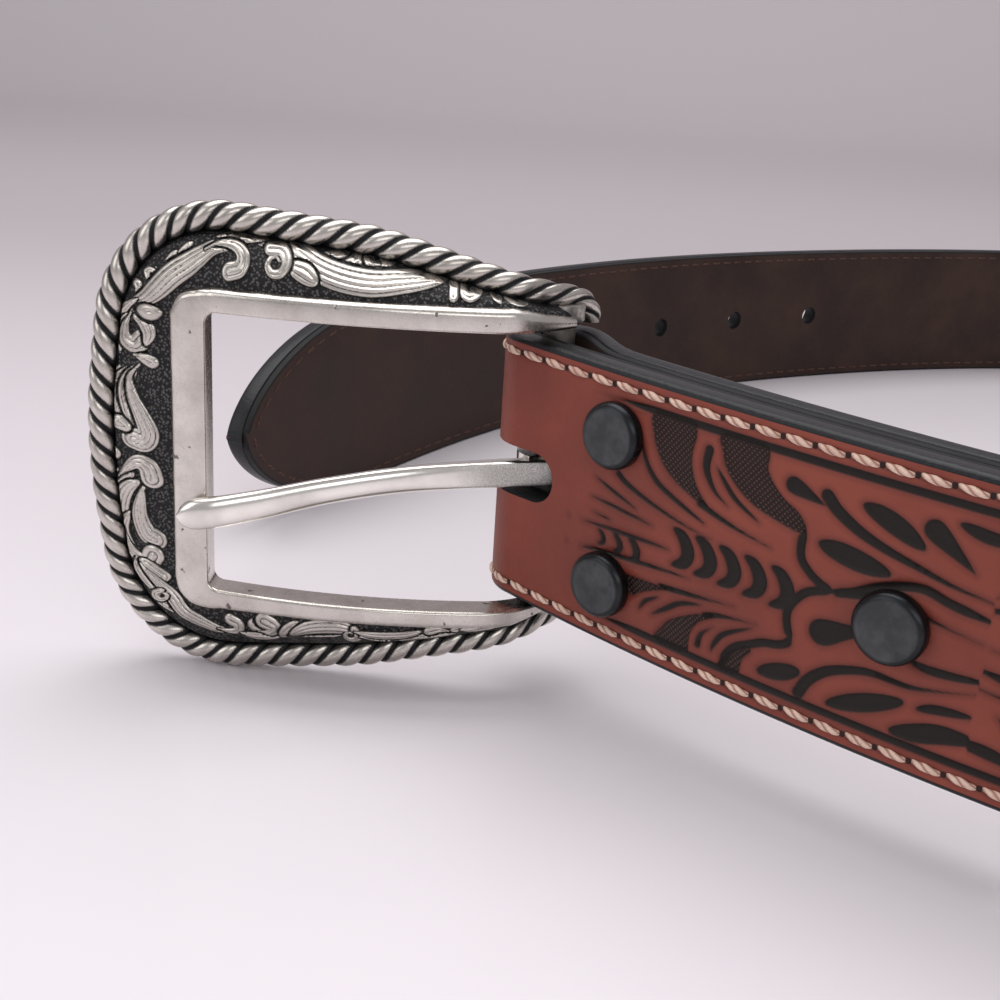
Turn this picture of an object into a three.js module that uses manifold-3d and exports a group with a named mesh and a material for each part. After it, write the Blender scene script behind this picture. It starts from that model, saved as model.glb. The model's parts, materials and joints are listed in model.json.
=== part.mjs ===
// Western tooled belt, unfastened and standing on its lower edge as an open loop.
// A leather strap of two layers folds round the heel bar of a cast buckle and is closed
// there with three snaps. Millimetres, +Z up, seen from the front along +Y.
import * as THREE from "three";
import { mergeVertices } from "three/addons/utils/BufferGeometryUtils.js";
import Module from "manifold-3d";

const wasm = await Module();
wasm.setup();

// Strap sizes
const strapLength = 1110;
const strapWidth = 38;
const faceThickness = 3.4;
const liningThickness = 1.1;
const layerGap = 0.3;
const liningInset = 0.5;
const foldBackLength = 76;
const tipLength = 44;
const tipRoundness = 0.7;
const tipNose = 0.6;
const strapDrop = 0.4;
const riseShare = 0.57;
const wayRunOn = 6;
const strapStep = 14;
const closingSteps = 6;
const foldBackSteps = 6;
const foldSteps = 12;
const tipSteps = 12;

// Way of the strap in plan, on a line that runs on a little past the tip: the share of the
// line's length, and the way it heads there in degrees
const strapWay = [
  { share: 0, heading: -44.8 },
  { share: 0.08, heading: -31 },
  { share: 0.2, heading: 3 },
  { share: 0.32, heading: 43.5 },
  { share: 0.44, heading: 86.5 },
  { share: 0.56, heading: 133.5 },
  { share: 0.68, heading: 179.5 },
  { share: 0.76, heading: 202.5 },
  { share: 0.82, heading: 213.5 },
  { share: 0.88, heading: 227.5 },
  { share: 0.94, heading: 241 },
  { share: 1, heading: 248 },
];

// Holes, slot and snaps
const holeCount = 5;
const holeRadius = 2.5;
const holePitch = 29.2;
const firstHoleFromTip = 102.3;
const slotHeight = 6.6;
const slotReach = 7.5;
const snapRadius = 4.5;
const snapDome = 1.9;
const snapFlatShare = 0.72;
const snapPostRadius = 1.5;
const snapBackRadius = 4.2;
const snapBackHeight = 2.4;
const snapBackRecess = 1.4;
const snapSides = 16;
const holeSides = 12;
const snapFromEdge = 8.6;
const snapAbove = strapWidth / 2 - snapFromEdge;
const snaps = [
  { name: "snap_upper", along: 17.6, above: snapAbove },
  { name: "snap_lower", along: 17.6, above: -snapAbove },
  { name: "snap_third", along: 57.5, above: -1.2 },
];

// Buckle sizes
const openingLength = 47.8;
const openingHeight = 40;
const openingCorner = 1.5;
const buckleOverhang = 5.9;
const heelBorder = 6.6;
const cornerBorder = 17.3;
const outerCornerRadius = 17.5;
const heelCornerRadius = 8;
const outerBorder = 15;
const endBulge = 0.8;
const rimWidth = 4.4;
const rimBevel = 1.2;
const rimRise = 1.6;
const grooveWidth = 0.5;
const bandDome = 0.45;
const frameDepth = 4.4;
const ropeRadius = 2.1;
const ropeSink = 2.2;
const ropePitch = 2.9;
const ropeCut = 0.24;
const ropeSides = 8;
const ropeSectionsPerTwist = 2;
const bowRadius = 95;
const bowCrest = 21.8;
const bowFront = 12.2;
const heelTurnStart = 8.8;
const heelTurn = 0.045;
const barRadius = 2.25;
const barClearance = 0.35;
const bossRadius = 3.4;
const plateStep = 3.6;

// Cast scrolls on the band: place along the border as a share of its length, place
// across the band as a share, size in band widths, turns of the curl, its hand and start
const scrolls = [
  { place: 0.155, across: 0.45, size: 0.5, turns: 0.7, hand: -1, start: 20 },
  { place: 0.2, across: 0.5, size: 0.52, turns: 0.8, hand: 1, start: 200 },
  { place: 0.245, across: 0.45, size: 0.5, turns: 0.8, hand: -1, start: 30 },
  { place: 0.29, across: 0.5, size: 0.46, turns: 0.9, hand: 1, start: 210 },
  { place: 0.335, across: 0.5, size: 0.44, turns: 0.8, hand: -1, start: 0 },
  { place: 0.385, across: 0.5, size: 0.46, turns: 0.8, hand: 1, start: 190 },
  { place: 0.43, across: 0.5, size: 0.44, turns: 0.9, hand: -1, start: 10 },
  { place: 0.475, across: 0.5, size: 0.44, turns: 0.9, hand: 1, start: 170 },
];
const scrollWidth = 1.3;
const scrollRise = 0.6;
const scrollSink = 0.4;
const scrollSteps = 7;
const scrollCurl = 0.7;
const scrollStretch = 1.6;
const scrollHeightShare = 0.75;

// Prong sizes: the table gives the share of its reach, and how far forward it stands
// there as a share of the stand of its tip
const prongWidth = 3.7;
const prongDepth = 2.7;
const prongTipWidth = 4.6;
const prongRingHeight = 4.4;
const prongRingWall = 2.3;
const prongDroop = 7.7;
const prongOverRim = 0.85;
const prongSides = 10;
const prongWay = [
  { share: 0, forward: 0.37 },
  { share: 0.2, forward: 0.24 },
  { share: 0.42, forward: 0.22 },
  { share: 0.62, forward: 0.46 },
  { share: 0.8, forward: 0.86 },
  { share: 0.9, forward: 1 },
  { share: 1, forward: 0.98 },
];
const prongSteps = 18;
const prongSquareness = 0.7;
const prongNoseShare = 0.07;
const prongSwellFrom = 0.55;
const prongSwellTo = 0.92;

const fitGap = 0.3;

// Values that follow from the sizes above
const degree = Math.PI / 180;
const wayLength = strapLength + wayRunOn;
const foldRadius = barRadius + barClearance;
const faceDepth = liningThickness + layerGap;
const strapThickness = faceDepth + faceThickness;
const heelHalfHeight = openingHeight / 2 + heelBorder;
const outerCornerHalfHeight = openingHeight / 2 + cornerBorder;
const prongReach = openingLength + prongOverRim * rimWidth;
const closingLength = Math.min(...snaps.map((snap) => snap.along)) - snapBackRadius - fitGap;

// A cubic through the rows of a table, for the value column at the share given
function tableValue(rows, column, share) {
  const last = rows.length - 1;
  const slopeOf = (i) => (rows[i + 1][column] - rows[i][column]) / (rows[i + 1].share - rows[i].share);
  const tangentAt = (i) => {
    if (i === 0) return slopeOf(0);
    if (i === last) return slopeOf(last - 1);
    const before = rows[i].share - rows[i - 1].share;
    const after = rows[i + 1].share - rows[i].share;
    return (slopeOf(i) * before + slopeOf(i - 1) * after) / (before + after);
  };
  let i = 0;
  while (i < last - 1 && share >= rows[i + 1].share) i += 1;
  const width = rows[i + 1].share - rows[i].share;
  const t = (share - rows[i].share) / width;
  const startWeight = 2 * t ** 3 - 3 * t ** 2 + 1;
  const leave = (t ** 3 - 2 * t ** 2 + t) * width * tangentAt(i);
  const arrive = (t ** 3 - t ** 2) * width * tangentAt(i + 1);
  return startWeight * rows[i][column] + leave + (1 - startWeight) * rows[i + 1][column] + arrive;
}

// The strap's inner surface in plan, stepped every millimetre by its heading
const planSteps = Math.ceil(wayLength);
const plan = (() => {
  const step = wayLength / planSteps;
  const headingAt = (i) => tableValue(strapWay, "heading", i / planSteps) * degree;
  const start = headingAt(0);
  let x = foldRadius * Math.sin(start);
  let y = -foldRadius * Math.cos(start);
  const points = [{ x, y, heading: start }];
  for (let i = 0; i < planSteps; i += 1) {
    const middle = (headingAt(i) + headingAt(i + 1)) / 2;
    x += step * Math.cos(middle);
    y += step * Math.sin(middle);
    points.push({ x, y, heading: headingAt(i + 1) });
  }
  return points;
})();

// Place in plan at a distance along the strap, a depth outwards from its inner surface
function strapPlace(along, depth) {
  const at = THREE.MathUtils.clamp((along / wayLength) * planSteps, 0, planSteps);
  const i = Math.min(Math.floor(at), planSteps - 1);
  const t = at - i;
  const heading = THREE.MathUtils.lerp(plan[i].heading, plan[i + 1].heading, t);
  return {
    x: THREE.MathUtils.lerp(plan[i].x, plan[i + 1].x, t) + depth * Math.sin(heading),
    y: THREE.MathUtils.lerp(plan[i].y, plan[i + 1].y, t) - depth * Math.cos(heading),
    heading,
  };
}

// The buckle stands on its border, and the strap hangs a little low in its opening
const buckleCentre = Math.max(...borderOutline(ropePitch).map((p) => p.y));
const strapMiddle = buckleCentre - strapDrop;

// Height of the strap's middle line: it leaves the buckle and settles to the surface
function strapHeight(along) {
  const rest = strapWidth / 2;
  const settle = Math.max(0, 1 - along / (riseShare * strapLength));
  return rest + (strapMiddle - rest) * settle ** 2;
}

// A polyline with its corners rounded, each corner with a radius of its own
function roundedLine(corners, spacing) {
  const path = new THREE.Path();
  path.moveTo(corners[0].x, corners[0].y);
  for (let i = 1; i < corners.length - 1; i += 1) {
    const corner = new THREE.Vector2(corners[i].x, corners[i].y);
    const before = new THREE.Vector2(corners[i - 1].x, corners[i - 1].y).sub(corner).normalize();
    const after = new THREE.Vector2(corners[i + 1].x, corners[i + 1].y).sub(corner).normalize();
    const half = Math.acos(THREE.MathUtils.clamp(before.dot(after), -1, 1)) / 2;
    const reach = corners[i].radius / Math.tan(half);
    const inwards = before.clone().add(after).normalize();
    const centre = corner.clone().addScaledVector(inwards, corners[i].radius / Math.sin(half));
    const from = corner.clone().addScaledVector(before, reach).sub(centre);
    const to = corner.clone().addScaledVector(after, reach).sub(centre);
    const clockwise = before.cross(after) > 0;
    path.absarc(centre.x, centre.y, corners[i].radius, from.angle(), to.angle(), clockwise);
  }
  const end = corners[corners.length - 1];
  path.lineTo(end.x, end.y);
  return path.getSpacedPoints(Math.round(path.getLength() / spacing));
}

// The outer border as points in the buckle's plane, the heel bar's axis at x = 0
function borderOutline(spacing) {
  const outer = -(openingLength + outerBorder);
  const half = [
    { x: buckleOverhang, y: openingHeight / 2 },
    { x: buckleOverhang, y: heelHalfHeight, radius: heelCornerRadius },
    { x: outer, y: outerCornerHalfHeight, radius: outerCornerRadius },
  ];
  const bulge = { x: outer - endBulge, y: 0, radius: 2 * outerCornerHalfHeight };
  const mirrored = half.map((p) => ({ ...p, y: -p.y })).reverse();
  return roundedLine([...half, bulge, ...mirrored], spacing);
}

// Front surface of the buckle in depth: bowed like the waist, straight past the opening,
// and turned back at the heel
function buckleFront(x) {
  const flatStart = -openingLength;
  const bowed = Math.max(x, flatStart);
  const slope = (flatStart + bowCrest) / bowRadius;
  const bow = (bowed + bowCrest) ** 2 / (2 * bowRadius) + slope * Math.min(0, x - flatStart);
  const heel = heelTurn * Math.max(0, x + heelTurnStart) ** 2;
  return bow + heel - bowFront;
}

// A closed geometry from positions and triangles, turned so that its faces point out
function closedGeometry(positions, triangles) {
  let volume = 0;
  const a = new THREE.Vector3();
  const b = new THREE.Vector3();
  const c = new THREE.Vector3();
  for (const [i, j, k] of triangles) {
    a.copy(positions[i]);
    b.copy(positions[j]);
    c.copy(positions[k]);
    volume += a.dot(b.cross(c));
  }
  const index = volume < 0 ? triangles.map(([i, j, k]) => [i, k, j]) : triangles;
  const geometry = new THREE.BufferGeometry().setFromPoints(positions);
  geometry.setIndex(index.flat());
  return geometry;
}

// A skin over a row of sections with equal point counts, capped at both ends
function skinSections(sections, capContour) {
  const count = sections[0].length;
  const positions = sections.flat();
  const triangles = [];
  for (let s = 0; s < sections.length - 1; s += 1) {
    for (let i = 0; i < count; i += 1) {
      const a = s * count + i;
      const b = s * count + ((i + 1) % count);
      triangles.push([a, b, b + count], [a, b + count, a + count]);
    }
  }
  const cap = THREE.ShapeUtils.triangulateShape(capContour, []);
  const lastStart = (sections.length - 1) * count;
  const clockwise = THREE.ShapeUtils.isClockWise(capContour);
  for (const [i, j, k] of cap) {
    const front = clockwise ? [i, j, k] : [i, k, j];
    triangles.push(front);
    triangles.push([lastStart + front[0], lastStart + front[2], lastStart + front[1]]);
  }
  return closedGeometry(positions, triangles);
}

// The contour of any section with four corners, and of one with many round its middle
const trapezium = [[-1, 0], [-0.5, 1], [0.5, 1], [1, 0]].map(([x, y]) => new THREE.Vector2(x, y));

function roundContour(count) {
  const angles = Array.from({ length: count }, (_, k) => (2 * Math.PI * k) / count);
  return angles.map((angle) => new THREE.Vector2(Math.cos(angle), Math.sin(angle)));
}

function solidFrom(geometry) {
  const bare = geometry.index ? geometry.clone() : geometry;
  bare.deleteAttribute("normal");
  bare.deleteAttribute("uv");
  const merged = mergeVertices(bare, 1e-4);
  return new wasm.Manifold(
    new wasm.Mesh({
      numProp: 3,
      vertProperties: merged.attributes.position.array,
      triVerts: new Uint32Array(merged.index.array),
    }),
  );
}

function geometryFrom(solid) {
  const mesh = solid.getMesh();
  const geometry = new THREE.BufferGeometry();
  geometry.setAttribute("position", new THREE.BufferAttribute(mesh.vertProperties, 3));
  geometry.setIndex(new THREE.BufferAttribute(mesh.triVerts, 1));
  geometry.computeVertexNormals();
  return geometry;
}

function meshOf(name, solid, finish) {
  const mesh = new THREE.Mesh(geometryFrom(solid), new THREE.MeshStandardMaterial(finish));
  mesh.name = name;
  return mesh;
}

// Distances along the strap where a layer gets a section, closer together at the tip
function strapStations() {
  const stations = [];
  const body = strapLength - tipLength;
  const bodySteps = Math.round(body / strapStep);
  for (let i = 0; i < bodySteps; i += 1) stations.push((body * i) / bodySteps);
  for (let i = 0; i <= tipSteps; i += 1) {
    const t = i / tipSteps;
    stations.push(body + tipLength * (1 - (1 - t) ** 2));
  }
  return stations;
}

// Half the strap's width: full, then narrowing to a rounded point over the tip length
function strapHalfWidth(along, inset) {
  const fromTip = strapLength - along;
  const share = Math.min(1, fromTip / tipLength);
  const full = strapWidth / 2 - inset;
  return Math.max(tipNose, full * (1 - (1 - share) ** 2) ** tipRoundness);
}

// One leather layer between two depths: the fold-back, the fold round the bar, the strap
function layerSolid(innerDepth, outerDepth, inset) {
  const sections = [];
  const addSection = (inner, outer, height, half) => {
    sections.push([
      new THREE.Vector3(outer.x, outer.y, height - half),
      new THREE.Vector3(outer.x, outer.y, height + half),
      new THREE.Vector3(inner.x, inner.y, height + half),
      new THREE.Vector3(inner.x, inner.y, height - half),
    ]);
  };
  const full = strapWidth / 2 - inset;
  const backStations = [];
  for (let i = 0; i < foldBackSteps; i += 1) {
    backStations.push(THREE.MathUtils.lerp(foldBackLength, closingLength, i / foldBackSteps));
  }
  for (let i = 0; i < closingSteps; i += 1) backStations.push(closingLength * (1 - i / closingSteps));
  for (const along of backStations) {
    const closed = Math.min(1, along / closingLength);
    const apart = layerGap + (2 * foldRadius - layerGap) * (0.5 + 0.5 * Math.cos(Math.PI * closed));
    const inner = strapPlace(along, -(apart + innerDepth));
    const outer = strapPlace(along, -(apart + outerDepth));
    addSection(inner, outer, strapHeight(along), full);
  }
  const heading = plan[0].heading;
  for (let i = 0; i < foldSteps; i += 1) {
    const angle = heading + Math.PI / 2 + (Math.PI * i) / foldSteps;
    const ring = (radius) => ({ x: radius * Math.cos(angle), y: radius * Math.sin(angle) });
    addSection(ring(foldRadius + innerDepth), ring(foldRadius + outerDepth), strapHeight(0), full);
  }
  for (const along of strapStations()) {
    const half = strapHalfWidth(along, inset);
    addSection(strapPlace(along, innerDepth), strapPlace(along, outerDepth), strapHeight(along), half);
  }
  return solidFrom(skinSections(sections, trapezium));
}

// A round tool through both layers, square to the strap's surface
function crossCylinder(radius, along, above, from, to) {
  const geometry = new THREE.CylinderGeometry(radius, radius, to - from, holeSides);
  geometry.translate(0, (from + to) / 2, 0);
  return solidFrom(placeAcross(geometry, along, above));
}

// Turns a geometry whose axis is +Y so that the axis points out of the strap's face
function placeAcross(geometry, along, above) {
  const base = strapPlace(along, 0);
  geometry.rotateZ(Math.PI);
  geometry.rotateZ(base.heading);
  geometry.translate(base.x, base.y, strapHeight(along) + above);
  return geometry;
}

// The slot that lets the prong through the fold: a long hole with a round end
function slotTool() {
  const half = slotHeight / 2;
  const wide = foldRadius + strapThickness + 2;
  const shape = new THREE.Shape();
  shape.moveTo(-wide, -half);
  shape.lineTo(slotReach - half, -half);
  shape.absarc(slotReach - half, 0, half, -Math.PI / 2, Math.PI / 2, false);
  shape.lineTo(-wide, half);
  shape.closePath();
  const settings = { depth: 2 * wide, bevelEnabled: false, curveSegments: holeSides / 2 };
  const geometry = new THREE.ExtrudeGeometry(shape, settings);
  geometry.translate(0, 0, -wide);
  geometry.rotateX(Math.PI / 2);
  geometry.rotateZ(plan[0].heading);
  geometry.translate(0, 0, strapHeight(0));
  return solidFrom(geometry);
}

// A strap layer with its slot, its size holes and its snap holes cut through
function cutLayer(solid) {
  const through = strapThickness + foldRadius;
  let cut = solid.subtract(slotTool());
  for (let i = 0; i < holeCount; i += 1) {
    const along = strapLength - firstHoleFromTip - i * holePitch;
    cut = cut.subtract(crossCylinder(holeRadius, along, 0, -through, through));
  }
  const reach = 2 * strapThickness;
  for (const snap of snaps) {
    const tool = crossCylinder(snapPostRadius + fitGap, snap.along, snap.above, -reach, reach);
    cut = cut.subtract(tool);
  }
  return cut;
}

// A snap: a flat-topped dome on a post that goes through both layers of the strap
function snapCap(snap) {
  const seat = strapThickness + fitGap;
  const postEnd = -(strapThickness + layerGap + snapBackRecess);
  const flat = snapFlatShare * snapRadius;
  const profile = [
    new THREE.Vector2(0, postEnd),
    new THREE.Vector2(snapPostRadius, postEnd),
    new THREE.Vector2(snapPostRadius, seat),
    new THREE.Vector2(snapRadius, seat),
    new THREE.Vector2(snapRadius, seat + 0.5 * snapDome),
    new THREE.Vector2(0.9 * snapRadius, seat + 0.85 * snapDome),
    new THREE.Vector2(flat, seat + 0.97 * snapDome),
    new THREE.Vector2(0, seat + snapDome),
  ];
  return solidFrom(placeAcross(closedLathe(profile), snap.along, snap.above));
}

// The other half of the snap: a round stud on the inner side, hollow for the post's end
function snapBack(snap) {
  const seat = -(strapThickness + layerGap + fitGap);
  const bore = snapPostRadius + fitGap;
  const floor = seat - snapBackRecess;
  const profile = [
    new THREE.Vector2(0, seat - snapBackHeight),
    new THREE.Vector2(0.8 * snapBackRadius, seat - snapBackHeight),
    new THREE.Vector2(snapBackRadius, seat - 0.6 * snapBackHeight),
    new THREE.Vector2(snapBackRadius, seat),
    new THREE.Vector2(bore, seat),
    new THREE.Vector2(bore, floor),
    new THREE.Vector2(0, floor),
  ];
  return solidFrom(placeAcross(closedLathe(profile), snap.along, snap.above));
}

function closedLathe(profile) {
  const lathe = new THREE.LatheGeometry(profile, snapSides);
  lathe.deleteAttribute("normal");
  lathe.deleteAttribute("uv");
  const merged = mergeVertices(lathe, 1e-4);
  const positions = [];
  for (let i = 0; i < merged.attributes.position.count; i += 1) {
    positions.push(new THREE.Vector3().fromBufferAttribute(merged.attributes.position, i));
  }
  const triangles = [];
  const index = merged.index.array;
  for (let i = 0; i < index.length; i += 3) {
    const [a, b, c] = [index[i], index[i + 1], index[i + 2]];
    if (a !== b && b !== c && c !== a) triangles.push([a, b, c]);
  }
  return closedGeometry(positions, triangles);
}

// One crossing of the frame: where it starts at the opening, which way it runs outwards,
// and how wide it is up to the middle of the rope edge
function frameCrossing(point) {
  const half = openingHeight / 2 - openingCorner;
  const core = new THREE.Vector2(
    Math.max(point.x, -openingLength + openingCorner),
    THREE.MathUtils.clamp(point.y, -half, half),
  );
  const outward = point.clone().sub(core);
  const total = outward.length();
  outward.normalize();
  return { start: core.addScaledVector(outward, openingCorner), outward, width: total - openingCorner };
}

function rimWidthAt(crossing) {
  return Math.min(rimWidth, crossing.width - ropeRadius - 2 * grooveWidth);
}

function bandWidthAt(crossing) {
  return crossing.width - rimWidthAt(crossing) - ropeRadius - grooveWidth;
}

function onBuckle(crossing, across, rise) {
  const p = crossing.start.clone().addScaledVector(crossing.outward, across);
  return new THREE.Vector3(p.x, buckleFront(p.x) - rise, buckleCentre + p.y);
}

// The middle line of the rope edge: the border moved in by the rope's radius
function ropeLine(spacing) {
  const outline = borderOutline(spacing);
  return outline.map((point, i) => {
    const before = outline[Math.max(0, i - 1)];
    const after = outline[Math.min(outline.length - 1, i + 1)];
    const along = after.clone().sub(before).normalize();
    return point.clone().add(new THREE.Vector2(-along.y, along.x).multiplyScalar(ropeRadius));
  });
}

// The flat casting of the frame: raised rim, rounded band and the groove by the rope
function framePlate() {
  const sections = [];
  let contour = null;
  for (const point of ropeLine(plateStep)) {
    if (point.x > barRadius) continue;
    const crossing = frameCrossing(point);
    const rim = rimWidthAt(crossing);
    const band = bandWidthAt(crossing);
    const bevel = Math.min(rimBevel, rim / 3);
    const profile = [
      [0, -frameDepth],
      [0, -0.7 * rimBevel],
      [0.4 * bevel, 0],
      [rim - bevel, 0],
      [rim, -rimRise],
      [rim + 0.3 * band, bandDome - rimRise],
      [rim + 0.7 * band, bandDome - rimRise],
      [rim + band, -rimRise],
      [rim + band + 0.5 * grooveWidth, -rimRise - grooveWidth],
      [crossing.width, -rimRise - grooveWidth],
      [crossing.width, -frameDepth],
    ];
    contour = profile.map(([across, rise]) => new THREE.Vector2(across, rise));
    sections.push(profile.map(([across, rise]) => onBuckle(crossing, across, rise)));
  }
  return solidFrom(skinSections(sections, contour));
}

// The twisted rope round the border: two strands, each a lobe that winds along it
function ropeEdge() {
  const line = ropeLine(ropePitch / ropeSectionsPerTwist);
  const sections = line.map((point, i) => {
    const before = line[Math.max(0, i - 1)];
    const after = line[Math.min(line.length - 1, i + 1)];
    const along = after.clone().sub(before).normalize();
    const outward = new THREE.Vector2(along.y, -along.x);
    const section = [];
    for (let k = 0; k < ropeSides; k += 1) {
      const angle = (2 * Math.PI * k) / ropeSides;
      const lobe = Math.abs(Math.cos(angle + (Math.PI * i) / ropeSectionsPerTwist));
      const radius = ropeRadius * (1 - ropeCut + ropeCut * lobe);
      const p = point.clone().addScaledVector(outward, radius * Math.cos(angle));
      const depth = buckleFront(point.x) + ropeSink + radius * Math.sin(angle);
      section.push(new THREE.Vector3(p.x, depth, buckleCentre + p.y));
    }
    return section;
  });
  return solidFrom(skinSections(sections, roundContour(ropeSides)));
}

// A raised leaf scroll on the band, a ridge that curls in and narrows to its end
function scrollRidge(row, mirror) {
  const line = ropeLine(1);
  const place = mirror ? 1 - row.place : row.place;
  const hand = mirror ? -row.hand : row.hand;
  const start = (mirror ? 180 - row.start : row.start) * degree;
  const middle = frameCrossing(line[Math.round(place * (line.length - 1))]);
  const size = row.size * bandWidthAt(middle);
  const sections = [];
  for (let i = 0; i <= scrollSteps; i += 1) {
    const t = i / scrollSteps;
    const angle = start + hand * row.turns * 2 * Math.PI * t;
    const reach = size * (1 - scrollCurl * t);
    const along = place * (line.length - 1) + scrollStretch * reach * Math.cos(angle);
    const at = Math.min(Math.floor(along), line.length - 2);
    const point = line[at].clone().lerp(line[at + 1], along - at);
    const crossing = frameCrossing(point);
    const swing = scrollHeightShare * reach * Math.sin(angle);
    const across = rimWidthAt(crossing) + row.across * bandWidthAt(crossing) + swing;
    const half = (scrollWidth / 2) * (0.35 + 0.65 * Math.sin(Math.PI * Math.min(1, 0.25 + 0.75 * t)));
    const turn = angle + (hand * Math.PI) / 2;
    const side = new THREE.Vector2(-Math.sin(turn), Math.cos(turn));
    const lengthways = crossing.outward.clone().rotateAround(new THREE.Vector2(), Math.PI / 2);
    const sideways = lengthways.multiplyScalar(side.x).addScaledVector(crossing.outward, side.y);
    const base = bandDome / 2 - rimRise;
    const foot = base - scrollSink;
    const crest = base + scrollRise;
    const corner = (offset, rise) => {
      const p = crossing.start.clone().addScaledVector(crossing.outward, across);
      p.addScaledVector(sideways, offset);
      return new THREE.Vector3(p.x, buckleFront(p.x) - rise, buckleCentre + p.y);
    };
    const top = 0.45 * half;
    sections.push([corner(-half, foot), corner(-top, crest), corner(top, crest), corner(half, foot)]);
  }
  return solidFrom(skinSections(sections, trapezium));
}

// The upright round bar at the heel with a boss at each end where it meets the arms
function heelBar() {
  const half = openingHeight / 2;
  const bossHeight = heelHalfHeight - half - ropeRadius / 2;
  const bar = new THREE.CylinderGeometry(barRadius, barRadius, 2 * half + 1, snapSides);
  bar.rotateX(Math.PI / 2);
  bar.translate(0, 0, buckleCentre);
  let solid = solidFrom(bar);
  for (const side of [-1, 1]) {
    const boss = new THREE.CylinderGeometry(bossRadius, bossRadius, bossHeight, snapSides);
    boss.rotateX(Math.PI / 2);
    boss.translate(0, 0, buckleCentre + side * (half + bossHeight / 2));
    solid = solid.add(solidFrom(boss));
  }
  return solid;
}

function buckleFrame() {
  let solid = framePlate().add(ropeEdge()).add(heelBar());
  for (const row of scrolls) {
    for (const mirror of [false, true]) solid = solid.add(scrollRidge(row, mirror));
  }
  return solid;
}

// The prong: a ring on the heel bar and an arm that dips back and comes to rest on the rim
function prongSolid() {
  const ringOuter = foldRadius + prongRingWall;
  const baseHeight = strapHeight(0) - fitGap;
  const profile = [
    new THREE.Vector2(foldRadius, -prongRingHeight / 2),
    new THREE.Vector2(ringOuter, -prongRingHeight / 2),
    new THREE.Vector2(ringOuter, prongRingHeight / 2),
    new THREE.Vector2(foldRadius, prongRingHeight / 2),
    new THREE.Vector2(foldRadius, -prongRingHeight / 2),
  ];
  const ring = closedLathe(profile);
  ring.rotateX(Math.PI / 2);
  ring.translate(0, 0, baseHeight);
  const tipStand = buckleFront(-openingLength) - fitGap - prongDepth / 2;
  const sections = [];
  for (let i = 0; i <= prongSteps; i += 1) {
    const share = i / prongSteps;
    const x = -prongReach * share;
    const y = tipStand * tableValue(prongWay, "forward", share);
    const z = baseHeight - prongDroop * share;
    const pastNose = Math.max(0, (share - 1) / prongNoseShare + 1);
    const narrow = Math.sqrt(Math.max(0.08, 1 - pastNose ** 2));
    const swell = THREE.MathUtils.smoothstep(share, prongSwellFrom, prongSwellTo);
    const halfWidth = 0.5 * THREE.MathUtils.lerp(prongWidth, prongTipWidth, swell) * narrow;
    const halfDepth = 0.5 * prongDepth * (0.55 + 0.45 * narrow);
    const section = [];
    for (let k = 0; k < prongSides; k += 1) {
      const angle = (2 * Math.PI * (k + 0.5)) / prongSides;
      const square = (value) => Math.sign(value) * Math.abs(value) ** prongSquareness;
      const forward = halfDepth * square(Math.sin(angle));
      const upward = halfWidth * square(Math.cos(angle));
      section.push(new THREE.Vector3(x, y + forward, z + upward));
    }
    sections.push(section);
  }
  const arm = skinSections(sections, roundContour(prongSides));
  const bore = new THREE.CylinderGeometry(foldRadius, foldRadius, 2 * prongRingHeight, snapSides);
  bore.rotateX(Math.PI / 2);
  bore.translate(0, 0, baseHeight);
  return solidFrom(ring).add(solidFrom(arm)).subtract(solidFrom(bore));
}

// Finishes: colour, roughness and metalness of each kind of piece
const cognacLeather = { color: 0x78413a, roughness: 0.5, metalness: 0 };
const darkLining = { color: 0x322a28, roughness: 0.75, metalness: 0 };
const antiquedSilver = { color: 0xb9b6b0, roughness: 0.3, metalness: 1 };
const polishedSilver = { color: 0xcfccc6, roughness: 0.22, metalness: 1 };
const blackSnap = { color: 0x1c1d20, roughness: 0.35, metalness: 0.8 };

// The belt: the strap with its snaps, and the buckle with its prong on the heel bar
const strap = new THREE.Group();
strap.add(meshOf("strap_face", cutLayer(layerSolid(faceDepth, strapThickness, 0)), cognacLeather));
strap.add(meshOf("strap_lining", cutLayer(layerSolid(0, liningThickness, liningInset)), darkLining));
for (const snap of snaps) {
  strap.add(meshOf(snap.name + "_cap", snapCap(snap), blackSnap));
  strap.add(meshOf(snap.name + "_stud", snapBack(snap), blackSnap));
}

const buckle = new THREE.Group();
buckle.add(meshOf("buckle_frame", buckleFrame(), antiquedSilver));
buckle.add(meshOf("prong", prongSolid(), polishedSilver));

const belt = new THREE.Group();
belt.add(strap, buckle);

// The origin is the middle of the belt's box in plan, on the surface that it stands on
const box = new THREE.Box3().setFromObject(belt);
const middle = box.getCenter(new THREE.Vector3());
belt.position.set(-middle.x, -middle.y, 0);

export default belt;
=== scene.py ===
# %% [markdown]
# # A western tooled belt
# The belt stands on its lower edge as an open loop, with its cast silver buckle in front.
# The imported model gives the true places; this file gives every piece its fine form and finish.
# All lengths are metres, and `mm` turns a size in millimetres into metres.

# %% Load the frame
import json
import math

import bpy
import numpy as np
from mathutils import Matrix, Vector


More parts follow.
